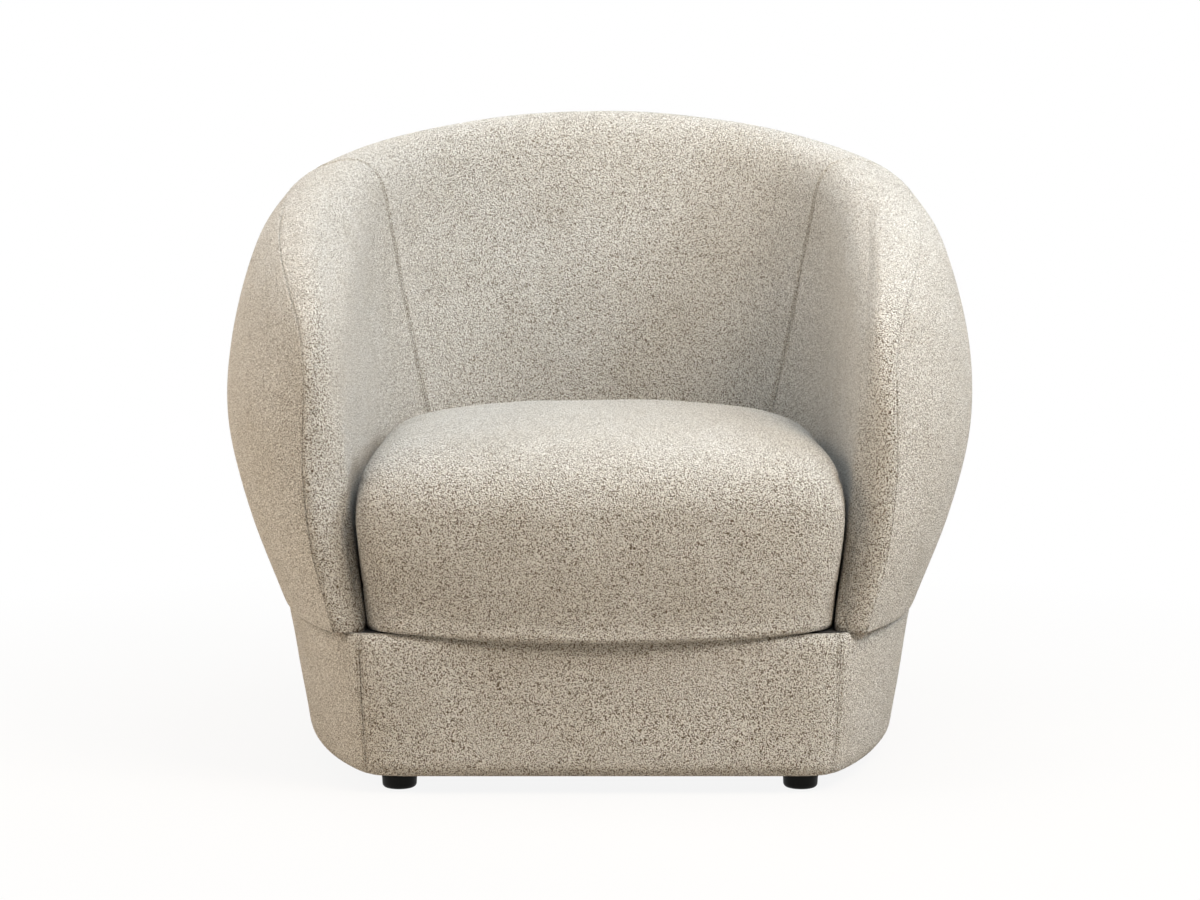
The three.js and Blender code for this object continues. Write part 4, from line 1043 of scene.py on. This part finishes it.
def tub_cover(name, runs, skins, spans, edges, pitch):
    """Cover cut from the tub's skin between two runs and two skins, thinner towards the arm front."""
    tub = bpy.context.scene.tub_sizes
    rows = seam_steps(*runs, spans[0], pitch)
    columns = seam_steps(*skins, spans[1], pitch)
    run, skin = np.meshgrid(rows, columns, indexing="ij")
    points = with_cheek(tub, skin_point(tub, run, skin), skin)
    taper = mix(0.3, 1, fade_in(folded(run), 0, 0.14))
    sewn_cover(name, sewn_panel(name, points, skin_normal(tub, run, skin), edges, tub.cover_thickness, taper))


def tub_seams(tub):
    """The plain seam and the seam with twin needle rows, as borders of a panel, each with its painted shade.
    """
    return ((tub.seam_radius, tub.seam_depth, 0, 0.3), (tub.seam_radius, tub.seam_depth, tub.needle_gap, 0.6))


class TUBCHAIR_OT_outside_covers(bpy.types.Operator):
    """Outside covers of both arms and of the back, between the waist and the rim seam"""

    bl_idname = "tub_chair.outside_covers"
    bl_label = "Outside covers"

    def execute(self, context):
        plain, twin = tub_seams(context.scene.tub_sizes)
        # The waist border rolls in with painted shade of strength 0.3.
        rim = {"first_column": (0.011, 0.0016, 0, 0.3), "last_column": plain}
        for name, runs, seam, span in (
            ("outside_arm_cover_right", (0, OUTER_SEAM), {"last_row": twin}, 0.95),
            ("outside_arm_cover_left", (2 - OUTER_SEAM, 2), {"first_row": twin}, 0.95),
            ("outside_back_cover", (OUTER_SEAM, 2 - OUTER_SEAM), {"first_row": twin, "last_row": twin}, 0.85),
        ):
            tub_cover(name, runs, (0, 1), (span, 0.48), {**rim, **seam}, 0.0065)
        return {"FINISHED"}


class TUBCHAIR_OT_inside_pads(bpy.types.Operator):
    """Inside pads with the arm fronts and the rim, from the rim seam down to the seat"""

    bl_idname = "tub_chair.inside_pads"
    bl_label = "Inside pads"

    def execute(self, context):
        tub = context.scene.tub_sizes
        plain, twin = tub_seams(tub)
        # The arm front's lower border rolls in with painted shade of strength 0.6.
        nose = (tub.waist_radius, tub.waist_radius, 0, 0.6)
        for name, runs, seam, span in (
            ("inside_arm_pad_right", (0, INNER_SEAM), {"first_row": nose, "last_row": twin}, 0.95),
            ("inside_arm_pad_left", (2 - INNER_SEAM, 2), {"first_row": twin, "last_row": nose}, 0.95),
            ("inside_back_pad", (INNER_SEAM, 2 - INNER_SEAM), {"first_row": twin, "last_row": twin}, 0.62),
        ):
            tub_cover(name, runs, (1, 3), (span, 0.66), {"first_column": plain, **seam}, 0.0062)
        return {"FINISHED"}


class TUBCHAIR_OT_base_covers(bpy.types.Operator):
    """Front, side and back covers of the base, with twin rows of stitching at their corners"""

    bl_idname = "tub_chair.base_covers"
    bl_label = "Base covers"

    def execute(self, context):
        tub, base = context.scene.tub_sizes, context.scene.base_sizes
        # The last number of each border is the strength of its painted shade.
        twin = (0.004, 0.0012, tub.needle_gap, 0.6)
        low, top = (0.004, 0.001, 0, 0.5), (base.top_roll, base.top_roll * 0.2, 0, 0.3)
        for name, start, stop, span in (
            ("base_front_cover", -FRONT_CORNER, FRONT_CORNER, 0.53),
            ("base_right_cover", FRONT_CORNER, REAR_CORNER, 0.85),
            ("base_left_cover", -REAR_CORNER, -FRONT_CORNER, 0.85),
            ("base_back_cover", REAR_CORNER, 2 - REAR_CORNER, 0.38),
        ):
            rows = seam_steps(start * np.pi, stop * np.pi, span, 0.0055)
            columns = seam_steps(0, 1, 0.16, 0.0055)
            angle, rise = np.meshgrid(rows, columns, indexing="ij")
            edges = {"first_row": twin, "last_row": twin, "first_column": low, "last_column": top}
            points, normals = base_point(tub, base, angle, rise), base_normal(tub, base, angle, rise)
            sewn_cover(name, sewn_panel(name, points, normals, edges, 0.0095))
        return {"FINISHED"}


class TUBCHAIR_OT_topstitching(bpy.types.Operator):
    """Thread of the twin rows beside the upright seams of the tub and the base"""

    bl_idname = "tub_chair.topstitching"
    bl_label = "Topstitching"

    def execute(self, context):
        tub, base = context.scene.tub_sizes, context.scene.base_sizes
        parts = []
        for seam, first, last in ((INNER_SEAM, 1.03, 2.97), (OUTER_SEAM, 0.03, 0.97)):
            for centre in (seam, 2 - seam):
                skin = np.linspace(first, last, 260)
                run = np.full_like(skin, centre)
                step = skin_point(tub, run + 0.001, skin) - skin_point(tub, run, skin)
                rate = np.linalg.norm(step, axis=1) / 0.001
                for side in (-1, 1):
                    beside = run + side * tub.needle_gap / rate
                    normal = skin_normal(tub, beside, skin)
                    path = skin_point(tub, beside, skin) - normal * 0.0008
                    parts.append(stitches(path, normal))
        for centre in (-FRONT_CORNER, FRONT_CORNER, REAR_CORNER, -REAR_CORNER):
            rise = np.linspace(0.06, 0.94, 90)
            for side in (-1, 1):
                turn = centre * np.pi + side * tub.needle_gap / (base.half_width * 1.05)
                angle = np.full_like(rise, turn)
                normal = base_normal(tub, base, angle, rise)
                path = base_point(tub, base, angle, rise) - normal * 0.0009
                parts.append(stitches(path, normal))
        mesh = new_mesh("topstitching", *joined(parts))
        new_piece("topstitching", mesh, "thread", "chair_frame")
        return {"FINISHED"}


class TUBCHAIR_OT_cushion(bpy.types.Operator):
    """Loose seat cushion: foam core and sewn cover, swollen by filling, with boxing seams and a zip slot"""

    bl_idname = "tub_chair.cushion"
    bl_label = "Seat cushion"

    def execute(self, context):
        tub, cushion = context.scene.tub_sizes, context.scene.cushion_sizes
        base = context.scene.base_sizes
        lower_edge = tub.waist_height - cushion.belly + 0.009
        points, faces = cushion_body(tub, cushion, cushion.swell * 0.6, cushion.rings,
                                     (*BOXING_SEAMS, lower_edge))
        rise = points[:, 2] - cushion.belly
        points = swollen(points, faces, cushion.pressure, cushion.swell)
        mesh = new_mesh("seat_cushion_cover", points, faces)
        points = with_filled_corner(cushion, points, mesh_normals(mesh))
        before_arms = fade_out(points[:, 1], tub.inner_front, 0.02)
        widest = np.exp(-((points[:, 2] - cushion.belly - 0.01) / 0.05) ** 2)
        points[:, 0] *= 1 + before_arms * widest * cushion.spread / cushion.half_width
        points = with_lip(tub, base, cushion, kept_inside(tub, points, 0.0006))
        set_points(mesh, points)
        normals = mesh_normals(mesh)
        x, y, _ = points.T
        behind = fade_in(y, -0.39, 0.05)
        groove, shade = np.zeros(len(points)), np.zeros(len(points))
        # Painted shade in the boxing seams' grooves, beside their real groove.
        for level in BOXING_SEAMS:
            ridge = np.exp(-((rise - level) / BOXING_WIDTH) ** 2)
            groove += BOXING_WIDTH * ridge * behind
            shade += 0.8 * ridge * behind
        # Painted shade: the down-facing lower front of the cushion darkens into a dark line above the base.
        shade += 0.35 * fade_out(normals[:, 2], -0.78, 0.16) * fade_out(y, -0.39, 0.01)
        slot = fade_out(np.abs(x), SLOT_HALF_LENGTH, 0.006) * (y > 0.1)
        slot *= fade_out(np.abs(rise), SLOT_HALF_HEIGHT, 0.002)
        groove += SLOT_DEPTH * slot + unevenness(points, CUSHION_WAVES)
        set_shade(mesh, np.clip(shade, 0, 1))
        set_points(mesh, points - normals * groove[:, None])
        new_piece("seat_cushion_cover", mesh, "yarn", "seat_cushion", "cushion_cover")
        core = new_mesh("cushion_foam", *cushion_body(tub, cushion, 0.02, 24))
        new_piece("cushion_foam", core, "foam", "seat_cushion", "cushion_foam_core")
        return {"FINISHED"}


class TUBCHAIR_OT_zip(bpy.types.Operator):
    """Zip at the back of the cushion: tape, teeth, slider and pull"""

    bl_idname = "tub_chair.zip"
    bl_label = "Zip"

    def execute(self, context):
        low, high = box_of("zip_tape")
        middle = (low[2] + high[2]) / 2
        tape = welded(new_mesh("zip_tape_cloth", *rounded_block(low, high, 30.0, 24)))
        new_piece("zip_tape_cloth", tape, "webbing", "seat_cushion", "zip_tape")
        places = np.arange(low[0] + 0.003, high[0] - 0.003, TOOTH_PITCH)
        tooth, faces = rounded_block((-0.0006, -0.0009, -0.0022), (0.0006, 0.0009, 0.0006), 3.0, 3)
        parts = []
        for side in (-1, 1):
            offset = TOOTH_PITCH / 2 if side > 0 else 0
            shift = np.stack([places + offset, 0 * places + high[1], 0 * places + middle], -1)
            shape = tooth * np.array([1, 1, side])
            points = (shape[None] + shift[:, None]).reshape(-1, 3)
            turned = faces if side > 0 else faces[:, ::-1]
            parts.append((points, copied_faces(turned, len(places), len(tooth))))
        teeth = welded(new_mesh("zip_teeth", *joined(parts)))
        new_piece("zip_teeth", teeth, "nickel", "seat_cushion")
        low, high = box_of("zip_slider")
        size = high - low
        body = rounded_block((low[0], low[1], high[2] - size[2] * 0.42), high, 3.5, 12)
        pull = rounded_block((low[0] + size[0] * 0.3, high[1] - size[1] * 0.4, low[2]),
                             (high[0] - size[0] * 0.3, high[1], high[2] - size[2] * 0.36), 5.0, 12)
        bar = rounded_block((low[0] + size[0] * 0.38, high[1] - size[1] * 0.5, high[2] - size[2] * 0.4),
                            (high[0] - size[0] * 0.38, high[1] + 0.0004, high[2] - size[2] * 0.1), 4.0, 8)
        slider = welded(new_mesh("zip_slider_pull", *joined([body, pull, bar])))
        new_piece("zip_slider_pull", slider, "nickel", "zip_slider", "zip_slider")
        return {"FINISHED"}


class TUBCHAIR_OT_deck(bpy.types.Operator):
    """Padded deck under the cushion, thinned to cloth over the rails at the front corners, and its straps"""

    bl_idname = "tub_chair.deck"
    bl_label = "Deck and straps"

    def execute(self, context):
        tub, base = context.scene.tub_sizes, context.scene.base_sizes
        low, high = box_of("seat_deck_pad")
        cut = np.array([high[0] - base.deck_corner, low[1]])
        low[1] = base.front + base.cover_reach
        rings = 36
        wide, deep = (high - low)[:2] / 2
        angle, ring = square_rings(wide, deep, deep, rings)
        across, ahead = np.sin(angle), np.cos(angle)
        half, reach = wide - 0.0004, deep - 0.0004
        radius = (np.abs(across / half) ** 30 + np.abs(ahead / reach) ** 30) ** (-1 / 30)
        thick, centre = (high[2] - low[2]) / 2, (high + low) / 2

        def swell(part):
            return (thick - 0.0004) * (1 - part ** 26) ** 0.4

        part = crowded_shares(swell, half, rings)[ring]
        x, y = centre[0] + radius * part * across, centre[1] - radius * part * ahead
        beyond = (np.abs(x) - cut[0]) * base.deck_corner_rise - (y - cut[1]) * base.deck_corner
        padded = ease(-beyond / np.hypot(base.deck_corner, base.deck_corner_rise) / 0.004)
        quilt = 0.0016 * np.exp(-((np.abs(x) - 0.12) / 0.003) ** 2) + 0.0016 * np.exp(-(x / 0.003) ** 2)
        crest = centre[2] + swell(part) - quilt * (part < 0.95)
        above = np.stack([x, y, mix(tub.waist_height - 0.00003, crest, padded)], -1)
        below = np.stack([x, y, mix(tub.waist_height - 0.00027, centre[2] - swell(part), padded)], -1)
        mesh = new_mesh("seat_deck", pillow_points(above, below), pillow_faces(2 * rings + 1))
        new_piece("seat_deck", mesh, "lining", "chair_frame", "seat_deck_pad")
        for name in [f"seat_strap_{i}" for i in range(1, 5)] + ["cross_strap_1", "cross_strap_2"]:
            strap = welded(new_mesh(name + "_webbing", *rounded_block(*box_of(name), 24.0, 40)))
            new_piece(name + "_webbing", strap, "webbing", "chair_frame", name)
        return {"FINISHED"}


class TUBCHAIR_OT_underside(bpy.types.Operator):
    """Thin cloth under the base with its staples, and the four moulded feet"""

    bl_idname = "tub_chair.underside"
    bl_label = "Underside and feet"

    def execute(self, context):
        tub, base = context.scene.tub_sizes, context.scene.base_sizes
        low, high = box_of("dust_cover")
        rings = 30
        angle, ring = square_rings(base.half_width, base.half_width, base.rear_reach, rings)
        border = base_point(tub, base, angle, 0 * angle) - base_normal(tub, base, angle, 0 * angle) * 0.006
        centre = np.array([0, tub.belly_centre, 0])
        part = (ring / rings)[..., None]
        flat = centre + (border - centre) * part
        sag = 0.0004 * np.cos(part[..., 0] * np.pi / 2)
        above, below = flat.copy(), flat.copy()
        above[..., 2] = low[2] + 0.0013 - sag
        below[..., 2] = low[2] + 0.0003 - sag
        above[ring == rings, 2] = low[2] + 0.0008
        mesh = new_mesh("underside_cloth", pillow_points(above, below), pillow_faces(2 * rings + 1))
        cloth = new_piece("underside_cloth", mesh, "lining", "chair_frame", "dust_cover")
        turn = (np.arange(STAPLES) + 0.5) / STAPLES * 2 * np.pi
        outward = base_normal(tub, base, turn, 0 * turn)
        places = base_point(tub, base, turn, 0 * turn) - outward * 0.014
        beside = np.stack([-outward[:, 1], outward[:, 0], 0 * turn], -1)
        staple, faces = rounded_block((-0.006, -0.0005, -0.0004), (0.006, 0.0005, 0.0004), 6.0, 3)
        along, across = staple[None, :, :1], staple[None, :, 1:2]
        points = places[:, None] + beside[:, None] * along + outward[:, None] * across
        points[..., 2] = low[2] + staple[None, :, 2]
        everything = copied_faces(faces, STAPLES, len(staple))
        staples = welded(new_mesh("underside_staples", points.reshape(-1, 3), everything))
        new_piece("underside_staples", staples, "zinc", "chair_frame")
        for place in ("front_left", "front_right", "rear_left", "rear_right"):
            low, high = box_of("foot_" + place)
            edge, radius, top = base.foot_edge, base.foot_radius, high[2]
            turn = np.linspace(0, np.pi / 2, 9)
            curve = [(radius - 0.0006 - edge * (1 - math.sin(a)), edge * (1 - math.cos(a))) for a in turn]
            hole, recess, head = 0.0028, 0.0064, 0.0083
            outline = [(hole, top), (hole, head), (recess, head), (recess, 0.0008), (0.0072, 0.0), *curve,
                       (radius - 0.0003, 0.011), (radius, 0.0125), (radius, top - 0.0006),
                       (radius - 0.0006, top)]
            points, faces = lathe(outline, 72, ((low[0] + high[0]) / 2, (low[1] + high[1]) / 2))
            mesh = welded(new_mesh("glide_foot_" + place, points, faces))
            new_piece("glide_foot_" + place, mesh, "foot", "chair_frame", "foot_" + place)
        return {"FINISHED"}


class TUBCHAIR_OT_frame_finishes(bpy.types.Operator):
    """Finishes of the wooden frame, the bent boards and the screws"""

    bl_idname = "tub_chair.frame_finishes"
    bl_label = "Frame finishes"

    def execute(self, context):
        for name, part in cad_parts.items():
            if part.hide_render:
                continue
            look = "zinc" if "screw" in name else "fibreboard" if "board" in name else "plywood"
            part.data.materials.clear()
            part.data.materials.append(look_of(look))
        return {"FINISHED"}


class TUBCHAIR_OT_studio(bpy.types.Operator):
    """Pale floor, soft lamps and the camera"""

    bl_idname = "tub_chair.studio"
    bl_label = "Studio"

    def execute(self, context):
        studio, scene = context.scene.studio_look, context.scene
        corners = np.array([[-6, -6, 0], [6, -6, 0], [6, 6, 0], [-6, 6, 0]])
        floor_mesh = new_mesh("floor", corners, np.array([[0, 1, 2, 3]]))
        floor = bpy.data.objects.new("floor", floor_mesh)
        scene.collection.objects.link(floor)
        floor_mesh.materials.append(look_of("floor"))
        for name, power, colour, place, size in (
            ("top_lamp", studio.top, studio.cool, (0, -0.1, 2.7), 2.2),
            ("left_lamp", studio.left, studio.warm, (-2.3, -0.4, 1.3), 1.8),
            ("key_lamp", studio.key, studio.cool, (2.0, -0.9, 1.75), 1.0),
            ("front_lamp", studio.front, studio.warm, (1.3, -1.5, 2.3), 1.0),
            ("rear_lamp", studio.rear, studio.cool, (-0.6, 2.6, 1.6), 2.0),
        ):
            lamp = bpy.data.lights.new(name, "AREA")
            lamp.size, lamp.energy, lamp.color = size, power, colour
            holder = bpy.data.objects.new(name, lamp)
            scene.collection.objects.link(holder)
            holder.location = place
            aim = Vector((0, -0.1, 0.42)) - Vector(place)
            holder.rotation_euler = aim.to_track_quat("-Z", "Y").to_euler()
        world = bpy.data.worlds.new("studio_world")
        scene.world = world
        world.use_nodes = True
        tree = world.node_tree
        tree.nodes.clear()
        soft, white = (node(tree, "ShaderNodeBackground", {"Color": (1, 1, 1, 1), "Strength": strength})
                       for strength in (studio.ambient, 1.0))
        sides = {0: seen_directly(tree), 1: soft.outputs[0], 2: white.outputs[0]}
        both = node(tree, "ShaderNodeMixShader", sides)
        node(tree, "ShaderNodeOutputWorld", {"Surface": both.outputs[0]})
        camera = bpy.data.cameras.new("camera")
        camera.sensor_width, camera.sensor_fit, camera.lens = 36, "HORIZONTAL", studio.lens
        camera.clip_end = 50
        viewer = bpy.data.objects.new("camera", camera)
        scene.collection.objects.link(viewer)
        viewer.location = (0, -studio.camera_distance, studio.camera_height)
        viewer.rotation_euler = (math.pi / 2 - studio.camera_pitch, 0, 0)
        scene.camera = viewer
        scene.view_settings.view_transform = "Standard"
        return {"FINISHED"}


OPERATORS = (
    TUBCHAIR_OT_outside_covers,
    TUBCHAIR_OT_inside_pads,
    TUBCHAIR_OT_base_covers,
    TUBCHAIR_OT_topstitching,
    TUBCHAIR_OT_cushion,
    TUBCHAIR_OT_zip,
    TUBCHAIR_OT_deck,
    TUBCHAIR_OT_underside,
    TUBCHAIR_OT_frame_finishes,
    TUBCHAIR_OT_studio,
)
GROUPS = {"tub_sizes": TubSizes, "base_sizes": BaseSizes, "cushion_sizes": CushionSizes,
          "yarn_look": YarnLook, "studio_look": StudioLook}


class TUBCHAIR_PT_panel(bpy.types.Panel):
    """Lists the sizes and the steps of the chair's upholstery"""

    bl_idname = "TUBCHAIR_PT_panel"
    bl_label = "Tub chair"
    bl_space_type = "VIEW_3D"
    bl_region_type = "UI"
    bl_category = "Tub chair"

    def draw(self, context):
        layout = self.layout
        for step in OPERATORS:
            layout.operator(step.bl_idname)
        for key, group in GROUPS.items():
            box = layout.box()
            box.label(text=group.__doc__)
            for name in group.__annotations__:
                box.prop(getattr(context.scene, key), name)


def register():
    """Registers the groups, the steps and the panel."""
    for key, group in GROUPS.items():
        bpy.utils.register_class(group)
        setattr(bpy.types.Scene, key, PointerProperty(type=group))
    for step in OPERATORS:
        bpy.utils.register_class(step)
    bpy.utils.register_class(TUBCHAIR_PT_panel)


def unregister():
    """Takes back what register added."""
    bpy.utils.unregister_class(TUBCHAIR_PT_panel)
    for step in reversed(OPERATORS):
        bpy.utils.unregister_class(step)
    for key, group in reversed(GROUPS.items()):
        delattr(bpy.types.Scene, key)
        bpy.utils.unregister_class(group)


def main():
    """Registers everything and runs the steps in order."""
    register()
    for step in OPERATORS:
        group, name = step.bl_idname.split(".")
        getattr(getattr(bpy.ops, group), name)()


if __name__ == "__main__":
    main()
